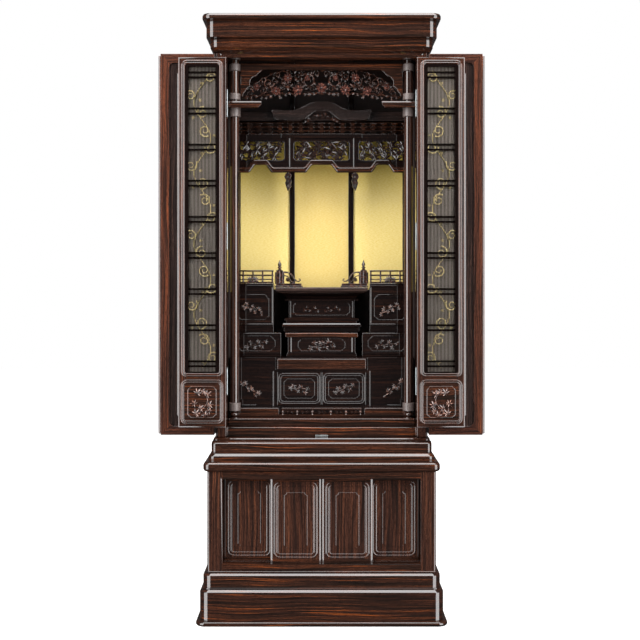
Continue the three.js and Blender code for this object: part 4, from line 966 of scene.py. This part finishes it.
def build_transom():
    low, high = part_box("transom_board")
    arch = [(x * MM, z * MM) for x, z in ARCH]
    right = [(-x, z) for x, z in reversed(arch)]
    edge = [(low.x, low.z), *reversed(arch), *reversed(right), (high.x, low.z)]
    board = sawn([[*edge, (high.x, high.z), (low.x, high.z)]], low.y, high.y, 1.2 * MM)
    line = [(x, low.y - 0.2 * MM, z) for x, z in [*reversed(arch), *reversed(right)]]
    trim = rod(line, 1.5 * MM, rings=2)
    fit(joined([board, trim]), "Transom_board", shelf_wood, "cabinet", "lacquered_wood", "transom_board")

    low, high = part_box("transom_carving")
    half = high.x - 3 * MM
    draw = random.Random(11)
    parts = []
    for radius, rise, sag in ((2.4, 1433, 12), (2.0, 1499, 66)):
        bough = []
        for i in range(41):
            share = i / 20 - 1
            height = rise - sag * max(abs(share) - 0.35, 0) ** 2 / 0.42 + 2.5 * math.sin(9 * i)
            bough.append((half * share, high.y - 3 * MM, height * MM))
        parts.append(rod(bough, radius * MM, rings=1))
    curls = [(99, 1467, 20), (38, 1466, 24), (150, 1462, 17), (184, 1446, 13), (68, 1480, 12),
             (124, 1484, 11), (14, 1488, 11),
             (62, 1456, 12), (86, 1448, 12), (112, 1450, 11), (146, 1441, 11), (166, 1438, 9),
             (200, 1432, 9), (28, 1446, 11),
             (170, 1464, 9), (132, 1468, 10), (52, 1492, 9), (92, 1492, 9)]
    for x, z, size in curls:
        turn, deep = draw.uniform(0, 6), draw.uniform(2, 8) * MM
        for side in (-1, 1):
            parts.append(stamp(scroll_pattern, side * x * MM, low.y + deep, z * MM, size * MM, side * turn,
                               side))
    for i in range(16):
        share = (i + 0.5) / 16
        x, z = half * 0.97 * share, (1430 - 12 * share * share + draw.uniform(-5, 4)) * MM
        turn, size = draw.uniform(0, 6), draw.uniform(5, 8) * MM
        for side in (-1, 1):
            parts.append(stamp(leaf_pattern, side * x, low.y + 3 * MM, z, size, side * turn))
    for i in range(44):
        x = half * 0.9 * (i + 0.5) / 44
        z = draw.uniform(1442, 1494 - 44 * max(x / half - 0.6, 0) / 0.3) * MM
        turn, size, deep = draw.uniform(0, 6), draw.uniform(4, 6.5) * MM, draw.uniform(2, 8) * MM
        for side in (-1, 1):
            parts.append(stamp(leaf_pattern, side * x, low.y + deep, z, size, side * turn))
    carving = joined(parts)
    carving.data.materials.append(carved_wood)
    blooms = []
    for x, z, size in ((0, 1447, 16), (67, 1441, 15), (128, 1438, 14), (95, 1475, 13), (40, 1475, 9),
                       (182, 1450, 9)):
        for side in ((-1, 1) if x else (1,)):
            blooms.append(stamp(blossom_pattern, side * x * MM, low.y + 1.5 * MM, z * MM, size * MM,
                                draw.uniform(0, 6)))
    flowers = joined(blooms)
    flowers.data.materials.append(blossom_wood)
    fit(joined([carving, flowers]), "Transom_carving", None, "cabinet", "carved_wood", "transom_carving")


# Walls of the altar room
def build_walls():
    for node in ("wall_post_left", "wall_post_right"):
        fit(from_solid(node, 1.5 * MM), node.title(), shaded_inner_upright, "cabinet", "lacquered_wood", node)
    # The gold side boards beside the pillars get the dark matt finish: painted shade over their gold
    for node in ("gold_side_left", "gold_side_right"):
        fit(from_solid(node, 1.5 * MM), node.title(), shaded_matt_wood, "cabinet", "lacquered_wood", node)
    low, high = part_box("gold_wall")
    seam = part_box("wall_post_right")[0].x + 5 * MM
    panels = []
    # The side panels take the brightened gold and the middle the dimmed one: painted light and shade
    for x0, x1, paper in ((low.x, -seam, gold_leaf), (-seam, seam, shaded_gold_leaf),
                          (seam, high.x, gold_leaf)):
        panel = slab(x0, x1, low.y, high.y - 3 * MM, 880 * MM, 1345 * MM, 0.4 * MM, 1)
        panel.data.materials.append(paper)
        panels.append(panel)
    fit(joined(panels), "Gold_wall", None, "cabinet", "gold_leaf", "gold_wall")
    lining = joined([slab(low.x, high.x, low.y + 1 * MM, high.y, low.z, 880 * MM, 0.4 * MM, 1),
                     slab(low.x, high.x, low.y + 1 * MM, high.y, 1345 * MM, high.z, 0.4 * MM, 1)])
    fit(lining, "Back_lining", shaded_matt_wood, "cabinet", "lacquered_wood")
    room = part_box("tier_one")[1].x
    for side in (-1, 1):
        x0, x1 = sorted((side * (room - 14 * MM), side * (room + 0.2 * MM)))
        # Corner post in the same dark finish, painted shade for the gap at the room's corner
        post = slab(x0, x1, low.y - 14 * MM, low.y, 880 * MM, 1345 * MM, 2 * MM)
        fit(post, f"Corner_post_{side + 1}", shaded_matt_wood, "cabinet", "lacquered_wood")
        x0, x1 = sorted((side * 268.2 * MM, side * 268.9 * MM))
        strip = slab(x0, x1, -88 * MM, -12 * MM, 874 * MM, 1228 * MM, 0.2 * MM, 1)
        fit(strip, f"Gold_strip_{side + 1}", gold_leaf, "cabinet", "gold_leaf")


# Canopy
def wave_edge(z_low, z_high, grow):
    """Half of the arched rail's edge, from the left wall to the middle."""
    points = [(-262.3, z_low), (-216 - grow, z_low), (-211 - grow, z_low + 2), (-198 - grow, z_high - 2),
              (-193 - grow, z_high),
              (-168 + grow, z_high), (-163 + grow, z_high - 2), (-150 + grow, z_low + 2),
              (-145 + grow, z_low),
              (-48 - grow, z_low), (-44 - grow, z_low + 2), (-30 - grow, z_high - 2), (-25 - grow, z_high)]
    return [(x * MM, z * MM) for x, z in points]


def both_halves(left):
    return [*left, *[(-x, z) for x, z in reversed(left)]]


def build_wave_rail():
    low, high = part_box("wave_rail")
    z0 = low.z / MM
    lower = both_halves(wave_edge(z0, z0 + 23, 0))
    upper = both_halves(wave_edge(z0 + 17, z0 + 40, 5))
    board = sawn([[*lower, *reversed(upper)]], low.y, high.y + 5 * MM, 5 * MM, 3)
    fit(board, "Wave_rail", shelf_wood, "cabinet", "lacquered_wood", "wave_rail")


def build_lintel():
    low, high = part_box("canopy_lintel")
    front = low.y + 8 * MM
    top, half = high.z, high.x
    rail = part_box("wave_rail")[0].z / MM
    sill = (rail + 14) * MM
    window_foot = (rail + 37) * MM
    windows = [rounded(-half + 10 * MM, -110 * MM, window_foot, top - 22 * MM, 8 * MM, 4),
               rounded(-82 * MM, 82 * MM, window_foot, top - 22 * MM, 9 * MM, 4),
               rounded(110 * MM, half - 10 * MM, window_foot, top - 22 * MM, 8 * MM, 4)]
    edge = both_halves(wave_edge(rail + 7, rail + 30, 3))
    outline = [(max(min(x, half), -half), z) for x, z in edge] + [(half, top), (-half, top)]
    parts = [sawn([outline] + windows, front, high.y, 1.4 * MM),
             slab(-120 * MM, 120 * MM, low.y, front + 2 * MM, top - 13 * MM, top, 1.5 * MM),
             slab(-half, half, front - 3 * MM, front + 2 * MM, top - 13 * MM, top, 1.5 * MM)]
    for side in (-1, 1):
        x = side * 95 * MM
        parts.append(slab(x - 9 * MM, x + 9 * MM, front - 2.5 * MM, front + 1 * MM, sill, top - 12 * MM,
                          0.3 * MM, 1))
        parts.append(slab(x - 3 * MM, x + 3 * MM, front - 6.5 * MM, front - 1 * MM, sill, top - 12 * MM,
                          2.6 * MM, 3))
    for window in windows:
        parts.append(bead(window, front, 0.7 * MM))
    frame_piece = joined(parts)
    fit(frame_piece, "Canopy_lintel", shaded_inner_wood, "cabinet", "carved_wood", "canopy_lintel")
    carving = []
    middle = (window_foot + top - 22 * MM) / 2
    for x, width, rise, seed in ((-181, 130, 14, 3), (0, 150, -10, 5), (181, 130, -14, 8)):
        for lift, tilt in ((-9, 1), (0, -1), (11, 1)):
            carving += branch(x * MM, front + 5 * MM, middle + lift * MM, width * MM, rise * tilt * MM, 8,
                              seed + lift)
    fit(joined(carving), "Canopy_openwork", dark_carving, "cabinet", "carved_wood")
    for side in ("left", "right"):
        node = f"carved_drop_{side}"
        drop = from_solid(node, 1.2 * MM, 2)
        box_low, box_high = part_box(node)
        centre = (box_low.x + box_high.x) / 2
        extra = [stamp(leaf_pattern, centre, box_low.y, box_high.z - h * MM, 7 * MM, h) for h in (10, 22, 34,
                                                                                                  44)]
        fit(joined([drop] + extra), node.title(), dark_carving, "cabinet", "carved_wood", node)


def build_canopy():
    low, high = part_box("canopy_roof")
    band_top = [(-147, 1404), (-143, 1407.5), (-120, 1405), (-98, 1404.5), (-78, 1406), (-60, 1413.5),
                (-36, 1426.5), (-16, 1431), (0, 1432)]
    band_low = [(0, 1404), (-14, 1403.5), (-23.5, 1401), (-36, 1391), (-48.7, 1381), (-60, 1376.5),
                (-84, 1375.5), (-131, 1378), (-141, 1386)]
    scale = [(x * MM, z * MM) for x, z in band_top[:-1]]
    under = [(x * MM, z * MM) for x, z in band_low[1:]]
    outline = both_halves(scale) + both_halves(under[::-1])[::-1]
    gable = sawn([outline], low.y, low.y + 34 * MM, 1.8 * MM, 3)
    cap = rod([(x, low.y + 2 * MM, z + 0.5 * MM) for x, z in both_halves(scale)], 2.4 * MM, rings=2)
    inner = rod([(x, low.y - 0.2 * MM, z + 1.5 * MM) for x, z in both_halves(under[::-1])], 1.3 * MM, rings=2)
    sides = slab(low.x, high.x, low.y + 36 * MM, high.y, 1381 * MM, 1409 * MM, 3 * MM)
    slope = moulded(-146 * MM, 146 * MM, low.y + 4 * MM, high.y - 10 * MM, 1400 * MM, 6 * MM,
                    [(0, 0), (6 * MM, 3 * MM), (14 * MM, 40 * MM), (30 * MM, 110 * MM)])
    ornament = []
    draw = random.Random(21)
    for i in range(9):
        x = (i - 4) * 11 * MM
        z = (1378 + 16 * math.cos(x / (48 * MM) * QUARTER) + draw.uniform(-4, 2)) * MM
        ornament.append(stamp(leaf_pattern, x, low.y + 6 * MM, z, draw.uniform(7, 10) * MM,
                              draw.uniform(0, 6)))
        ornament.append(stamp(scroll_pattern, x + 5 * MM, low.y + 5 * MM, z - 4 * MM, 6 * MM,
                              draw.uniform(0, 6)))
    fit(joined([gable, cap, inner, sides, slope]), "Canopy_roof", gable_wood, "cabinet", "carved_wood",
        "canopy_roof")
    fit(joined(ornament), "Canopy_ornament", carved_wood, "cabinet", "carved_wood")

    low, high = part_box("bracket_course")
    parts = []
    block = slab(-5 * MM, 5 * MM, 0, 9 * MM, 0, 7 * MM, 1 * MM, 1)
    arm = slab(-9 * MM, 9 * MM, 0, 7 * MM, 0, 4 * MM, 1.2 * MM, 2)
    for row, (z, y) in enumerate(((1341, 10), (1352, 4), (1363, -2))):
        count = 17
        for i in range(count):
            x = low.x + (i + 0.5) * (high.x - low.x) / count
            setback = 0 if abs(x) < 140 * MM else 8 * MM
            move = (x, low.y + y * MM + 8 * MM + setback, z * MM)
            parts.append(copied(block, move))
            parts.append(copied(arm, (move[0], move[1] - 1 * MM, move[2] + 7 * MM)))
    for z in (1350, 1361, 1373):
        parts.append(slab(low.x, high.x, low.y + 14 * MM, high.y, z * MM, (z + 3) * MM, 0.8 * MM, 1))
    parts.append(slab(low.x, high.x, high.y - 6 * MM, high.y, low.z, high.z, 0.8 * MM, 1))
    for pattern in (block, arm):
        bpy.data.objects.remove(pattern)
    fit(joined(parts), "Bracket_course", shelf_wood, "cabinet", "carved_wood", "bracket_course")


# Tiers and altar
def line(x0, x1, y, z, radius=1.2 * MM):
    """A thin round moulding along a face."""
    return rod([(x0, y, z), (x1, y, z)], radius, rings=2)


def panel_frame(x0, x1, z0, z1, cut, y, radius=1.2 * MM):
    return bead(rounded(x0, x1, z0, z1, cut, 1), y, radius, 2)


def build_tier_one():
    low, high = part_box("tier_one")
    y, top = low.y + 3 * MM, high.z
    shelf_low, shelf_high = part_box("tier_one_shelf")
    post = 138 * MM
    parts = [slab(low.x, high.x, y, high.y, low.z, top, 1.5 * MM)]
    for side in (-1, 1):
        x = side * post
        parts.append(slab(x - 2.4 * MM, x + 2.4 * MM, y - 3 * MM, y + 1 * MM, low.z, top - 38 * MM, 1.8 * MM,
                          3))
        parts.append(slab(*sorted((side * 262 * MM, side * 130 * MM)), y - 1.6 * MM, y + 1 * MM,
                          top - 36 * MM, top, 1.5 * MM))
        parts.append(line(side * 245 * MM, side * 186 * MM, y - 0.4 * MM, low.z + 30 * MM, 1.3 * MM))
    tier = joined(parts)
    fit(tier, "Tier_one", shaded_inner_wood, "cabinet", "lacquered_wood", "tier_one")
    leaves = []
    for side in (-1, 1):
        leaves += branch(side * 203 * MM, y - 1.5 * MM, low.z + 76 * MM, 56 * MM, side * 42 * MM, 6, 31)
    fit(joined(leaves), "Tier_one_leaves", carving_with_painted_highlight, "cabinet", "carved_wood")
    shelf = slab(shelf_low.x, shelf_high.x, shelf_low.y, shelf_high.y, shelf_low.z, shelf_high.z, 3 * MM, 3)
    fit(shelf, "Tier_one_shelf", shelf_wood, "cabinet", "lacquered_wood", "tier_one_shelf")

    for side in ("left", "right"):
        node = f"tier_one_door_{side}"
        low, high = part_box(node)
        face = low.y + 3 * MM
        parts = [slab(low.x, high.x, face, high.y, low.z, high.z, 1.5 * MM),
                 bead(rounded(low.x + 4 * MM, high.x - 4 * MM, low.z + 4 * MM, high.z - 4 * MM, 13 * MM),
                      face, 2 * MM),
                 bead(rounded(low.x + 9.5 * MM, high.x - 9.5 * MM, low.z + 9.5 * MM, high.z - 9.5 * MM,
                              9 * MM), face, 1.4 * MM),
                 panel_frame(low.x + 19 * MM, high.x - 19 * MM, low.z + 19 * MM, high.z - 19 * MM, 9 * MM,
                             face, 0.9 * MM)]
        fit(joined(parts), node.title(), shaded_inner_wood, "cabinet", "lacquered_wood", node)
        spray = branch((low.x + high.x) / 2, face - 1 * MM, (low.z + high.z) / 2, 62 * MM,
                       (-14 if side == "left" else 14) * MM, 6, 41)
        fit(joined(spray), f"Small_door_leaves_{side}", carved_wood, "cabinet", "carved_wood")


def build_tier_two():
    low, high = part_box("tier_two_desk")
    y, top = low.y + 5 * MM, high.z
    x1 = high.x
    parts = [slab(-x1 + 8 * MM, x1 - 8 * MM, y, high.y, low.z, top - 4 * MM, 1.2 * MM),
             slab(-x1 + 4 * MM, x1 - 4 * MM, y - 3 * MM, y + 30 * MM, low.z, low.z + 5 * MM, 1.6 * MM),
             slab(-x1 + 6 * MM, x1 - 6 * MM, y - 1.5 * MM, y + 30 * MM, low.z + 5 * MM, low.z + 11 * MM,
                  1.6 * MM)]
    for side in (-1, 1):
        parts.append(slab(side * (x1 - 17 * MM) - 2 * MM, side * (x1 - 17 * MM) + 2 * MM, y - 2.2 * MM,
                          y + 1 * MM, low.z + 11 * MM, top - 13 * MM, 1.5 * MM))
    parts.append(panel_frame(-68 * MM, 68 * MM, low.z + 15 * MM, top - 17 * MM, 11 * MM, y, 1 * MM))
    fit(joined(parts), "Tier_two_desk", shaded_inner_wood, "cabinet", "lacquered_wood", "tier_two_desk")
    fit(slab(-x1, x1, low.y, y + 34 * MM, top - 13 * MM, top, 2.4 * MM, 3), "Desk_board", shelf_wood,
        "cabinet", "lacquered_wood")
    fit(joined(branch(0, y - 1 * MM, low.z + 33 * MM, 76 * MM, 6 * MM, 7, 51)), "Desk_leaves", carved_wood,
        "cabinet", "carved_wood")
    for side in ("left", "right"):
        node = f"tier_two_{side}"
        low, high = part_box(node)
        y = low.y + 4 * MM
        x0, x1 = low.x, high.x
        parts = [slab(x0, x1, y, high.y, low.z, top, 1.2 * MM),
                 slab(x0, x1, y - 2.5 * MM, y + 20 * MM, top - 5 * MM, top, 1.8 * MM, 3),
                 slab(x0, x1, y - 3.5 * MM, y + 20 * MM, low.z, low.z + 5 * MM, 1.6 * MM),
                 slab(x0, x1, y - 2 * MM, y + 20 * MM, low.z + 5 * MM, low.z + 11 * MM, 1.6 * MM),
                 panel_frame(x0 + 17 * MM, x1 - 17 * MM, low.z + 15 * MM, top - 9 * MM, 14 * MM, y, 1 * MM)]
        fit(joined(parts), node.title(), shaded_inner_wood, "cabinet", "lacquered_wood", node)
        leaves = branch((x0 + x1) / 2, y - 1 * MM, low.z + 34 * MM, 66 * MM,
                        (-6 if side == "right" else 6) * MM, 6, 61)
        fit(joined(leaves), f"Tier_two_leaves_{side}", carved_wood, "cabinet", "carved_wood")


def build_platforms():
    for side, sign in (("left", -1), ("right", 1)):
        node = f"side_platform_{side}"
        low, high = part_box(node)
        y, top = low.y + 5 * MM, high.z
        x0, x1 = low.x, high.x
        inner = x1 if sign < 0 else x0
        strip = inner + sign * 4.5 * MM
        parts = [slab(x0, x1, y, high.y, low.z, top, 1.2 * MM),
                 slab(x0, x1, y - 4 * MM, y + 20 * MM, top - 5 * MM, top, 1.8 * MM, 3),
                 slab(x0, x1, y - 2 * MM, y + 20 * MM, top - 11 * MM, top - 6 * MM, 1.5 * MM),
                 slab(x0, x1, y - 3 * MM, y + 20 * MM, low.z + 19 * MM, low.z + 25 * MM, 2 * MM, 3),
                 slab(strip - 2 * MM, strip + 2 * MM, y - 2 * MM, y + 1 * MM, low.z + 25 * MM, top - 12 * MM,
                      1.5 * MM),
                 panel_frame(x0 + 14 * MM, x1 - 14 * MM, low.z + 36 * MM, top - 34 * MM, 12 * MM, y,
                             1.3 * MM)]
        fit(joined(parts), node.title(), shaded_inner_wood, "cabinet", "lacquered_wood", node)
        leaves = branch((x0 + x1) / 2, y - 1.5 * MM, low.z + 68 * MM, 60 * MM, sign * 22 * MM, 7, 71)
        fit(joined(leaves), f"Platform_leaves_{side}", carving_with_painted_highlight, "cabinet", "carved_wood")

        node = f"platform_rail_{side}"
        low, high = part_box(node)
        y, h = (low.y + high.y) / 2, high.z - low.z
        parts = [slab(low.x, high.x, low.y, high.y, low.z, low.z + 4 * MM, 1 * MM),
                 slab(low.x, high.x, low.y + 1 * MM, high.y - 1 * MM, low.z + 0.54 * h, low.z + 0.66 * h,
                      1.4 * MM),
                 slab(low.x, high.x, low.y + 1 * MM, high.y - 1 * MM, low.z + 0.24 * h, low.z + 0.32 * h,
                      1 * MM),
                 rod([(low.x, y, high.z - 2.4 * MM), (high.x, y, high.z - 2.4 * MM)], 2.4 * MM, rings=2)]
        middle = (low.x + high.x) / 2
        for share in (-0.94, -0.47, 0, 0.47, 0.94):
            x = middle + share * (high.x - low.x) / 2
            parts.append(slab(x - 2.4 * MM, x + 2.4 * MM, y - 1.8 * MM, y + 1.8 * MM, low.z, high.z - 2 * MM,
                              1.2 * MM))
            if share and abs(share) < 0.9:
                parts.append(turned(x, y, [(low.z + 3 * MM, 3.4 * MM), (low.z + 7 * MM, 2 * MM),
                                           (low.z + 12 * MM, 3.2 * MM),
                                           (low.z + 17 * MM, 2 * MM), (low.z + 0.54 * h, 3.4 * MM)], 12))
        for turn in range(-3, 4):
            parts.append(stamp(leaf_pattern, middle + 3 * turn * MM, y, low.z + (13 - 0.5 * abs(turn)) * MM,
                               10 * MM, turn * 0.35))
        parts.append(slab(middle - 16 * MM, middle + 16 * MM, low.y + 1 * MM, high.y - 1 * MM,
                          low.z + 3 * MM, low.z + 8 * MM, 2 * MM))
        fit(joined(parts), node.title(), carved_wood, "cabinet", "carved_wood", node)


def build_altar():
    low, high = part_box("altar_top")
    rise = high.z - low.z
    levels = [(0, 9 * MM), (3 * MM, 6 * MM), (4 * MM, 2 * MM), (5 * MM, 1 * MM),
              (8 * MM, 0)] + [(rise - 3 * MM, 0)] + quarter(rise - 3 * MM, rise, 0, 3 * MM)
    fit(moulded_on("altar_top", 2.5 * MM, levels), "Altar_top", altar_slab_wood, "cabinet", "lacquered_wood",
        "altar_top")

    low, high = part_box("altar_body")
    rise = high.z - low.z
    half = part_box("altar_top")[1].x
    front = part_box("altar_top")[0].y
    steps = [(0, 24), (0.1, 24), (0.12, 22), (0.12, 19), (0.17, 19), (0.21, 22), (0.22, 22), (0.22, 31),
             (0.27, 31), (0.28, 26),
             (0.33, 26), (0.35, 28), (0.35, 38), (0.8, 38), (0.8, 27), (0.83, 26), (0.84, 28), (0.86, 34),
             (0.9, 31), (0.92, 27), (1, 12)]
    body = moulded(-half, half, front, high.y, low.z, 2 * MM, [(h * rise, i * MM) for h, i in steps])
    face = front + 38 * MM
    z0, z1 = low.z + 0.35 * rise, low.z + 0.8 * rise
    parts = [body, panel_frame(-84 * MM, 84 * MM, z0 + 8 * MM, z1 - 6 * MM, 9 * MM, face, 1.4 * MM)]
    for x in (-93, 93):
        parts.append(slab((x - 2.4) * MM, (x + 2.4) * MM, face - 3 * MM, face + 1 * MM, z0, z1, 1.8 * MM, 3))
    fit(joined(parts), "Altar_body", shaded_inner_wood, "cabinet", "lacquered_wood", "altar_body")
    leaves = []
    for side in (-1, 1):
        leaves += branch(side * 32 * MM, face - 1 * MM, (z0 + z1) / 2, 48 * MM, side * 6 * MM, 5, 81)
    fit(joined(leaves), "Altar_leaves", carved_wood, "cabinet", "carved_wood")


def build_newels():
    for side, sign in (("left", -1), ("right", 1)):
        node = f"newel_{side}"
        low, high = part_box(node)
        x, y = sign * 124 * MM, low.y + 14 * MM
        base = low.z
        top = base + 54 * MM
        parts = [slab(low.x, high.x, low.y, high.y, base, base + 4.6 * MM, 1.8 * MM, 3),
                 slab(low.x + 3 * MM, high.x - 3 * MM, low.y + 3 * MM, high.y, base + 4.6 * MM,
                      base + 11 * MM, 1.5 * MM),
                 slab(x - 10 * MM, x + 10 * MM, y - 10 * MM, y + 10 * MM, base + 10 * MM, top - 4 * MM,
                      1.6 * MM),
                 slab(x - 14 * MM, x + 14 * MM, y - 5 * MM, y + 5 * MM, base + 10 * MM, top - 10 * MM,
                      1.5 * MM),
                 slab(x - 2 * MM, x + 2 * MM, y - 12 * MM, y - 9 * MM, base + 11 * MM, top - 6 * MM,
                      1.4 * MM),
                 turned(x, y, [(top - 5 * MM, 8 * MM), (top - 1 * MM, 5 * MM), (top, 3.4 * MM),
                               (top + 3 * MM, 6.4 * MM), (top + 5 * MM, 6 * MM),
                               (top + 6 * MM, 3.4 * MM), (top + 8 * MM, 4 * MM), (top + 12 * MM, 5.6 * MM),
                               (top + 15 * MM, 5 * MM),
                               (top + 20 * MM, 2.4 * MM), (high.z - 1 * MM, 1 * MM), (high.z, 0.3 * MM)], 16)]
        inward = -sign
        curve = [(6, 36), (16, 36), (24, 34), (31, 29), (36, 22), (40, 15), (46, 10), (53, 9), (57, 12),
                 (56, 16), (52, 16)]
        for shrink, radius in ((1.0, 2.2), (0.72, 1.6)):
            path = [(x + inward * (n * shrink + 4) * MM, y, base + (8 + h * shrink) * MM) for n, h in curve]
            parts.append(rod(path, radius * MM, rings=2, taper=lambda share: 1.1 - 0.4 * share))
        parts.append(stamp(blossom_pattern, x + inward * 24 * MM, y - 1 * MM, base + 22 * MM, 7 * MM))
        parts.append(stamp(scroll_pattern, x + inward * 41 * MM, y, base + 14 * MM, 5 * MM, 1.0, inward))
        fit(joined(parts), node.title(), carved_wood, "cabinet", "carved_wood", node)


def build_floor_rail():
    low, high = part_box("floor_rail")
    y = (low.y + high.y) / 2
    parts = [slab(low.x, high.x, low.y, high.y, low.z, low.z + 6 * MM, 1.6 * MM),
             slab(-113 * MM, 113 * MM, low.y, high.y, high.z - 5 * MM, high.z, 1.6 * MM, 3)]
    for side in (-1, 1):
        x0, x1 = sorted((side * 121 * MM, side * 262.3 * MM))
        parts.append(slab(x0, x1, low.y, high.y, high.z - 7 * MM, high.z, 2.4 * MM, 3))
        parts.append(slab(x0, x1, low.y + 2 * MM, high.y - 2 * MM, low.z + 5 * MM, high.z - 6 * MM, 1 * MM))
    for x in (-110, -69, -26, 26, 69, 110):
        parts.append(turned(x * MM, y, [(low.z + 5 * MM, 4.6 * MM), (low.z + 8 * MM, 2.6 * MM),
                                        (low.z + 12.5 * MM, 4.4 * MM),
                                        (low.z + 17 * MM, 2.6 * MM), (high.z - 4 * MM, 4.6 * MM)], 14))
    for x in (-90, -48, 0, 48, 90):
        for side in (-1, 1):
            parts.append(stamp(scroll_pattern, (x + side * 6) * MM, y - 1 * MM, low.z + 12.5 * MM, 5 * MM,
                               0.6, side))
    fit(joined(parts), "Floor_rail", shelf_wood, "cabinet", "carved_wood", "floor_rail")


# Steel hinges of the screens
def build_hinges():
    pin = (-0.257, -0.142)
    for i, z in enumerate((1391, 1027, 630)):
        z0, z1 = (z - 37) * MM, (z + 37) * MM
        knuckle = turned(pin[0] - 2 * MM, pin[1], [(z0, 2 * MM), (z0, 2.6 * MM), (z1, 2.6 * MM),
                                                   (z1, 2 * MM)], 16)
        plate = slab(-261.3 * MM, -259.3 * MM, pin[1], -112 * MM, z0, z1, 0.6 * MM)
        hinge = joined([knuckle, plate])
        fit(mirrored(hinge), f"Hinge_right_{i}", steel, "cabinet", "catch_metal")
        fit(hinge, f"Hinge_left_{i}", steel, "cabinet", "catch_metal")


build_base()
build_cupboard_doors()
build_case()
build_outer_doors()
build_screens()
build_pillars()
build_transom()
build_walls()
build_wave_rail()
build_lintel()
build_canopy()
build_tier_one()
build_tier_two()
build_platforms()
build_altar()
build_newels()
build_floor_rail()
build_hinges()
for pattern in (leaf_pattern, scroll_pattern, blossom_pattern):
    bpy.data.objects.remove(pattern)
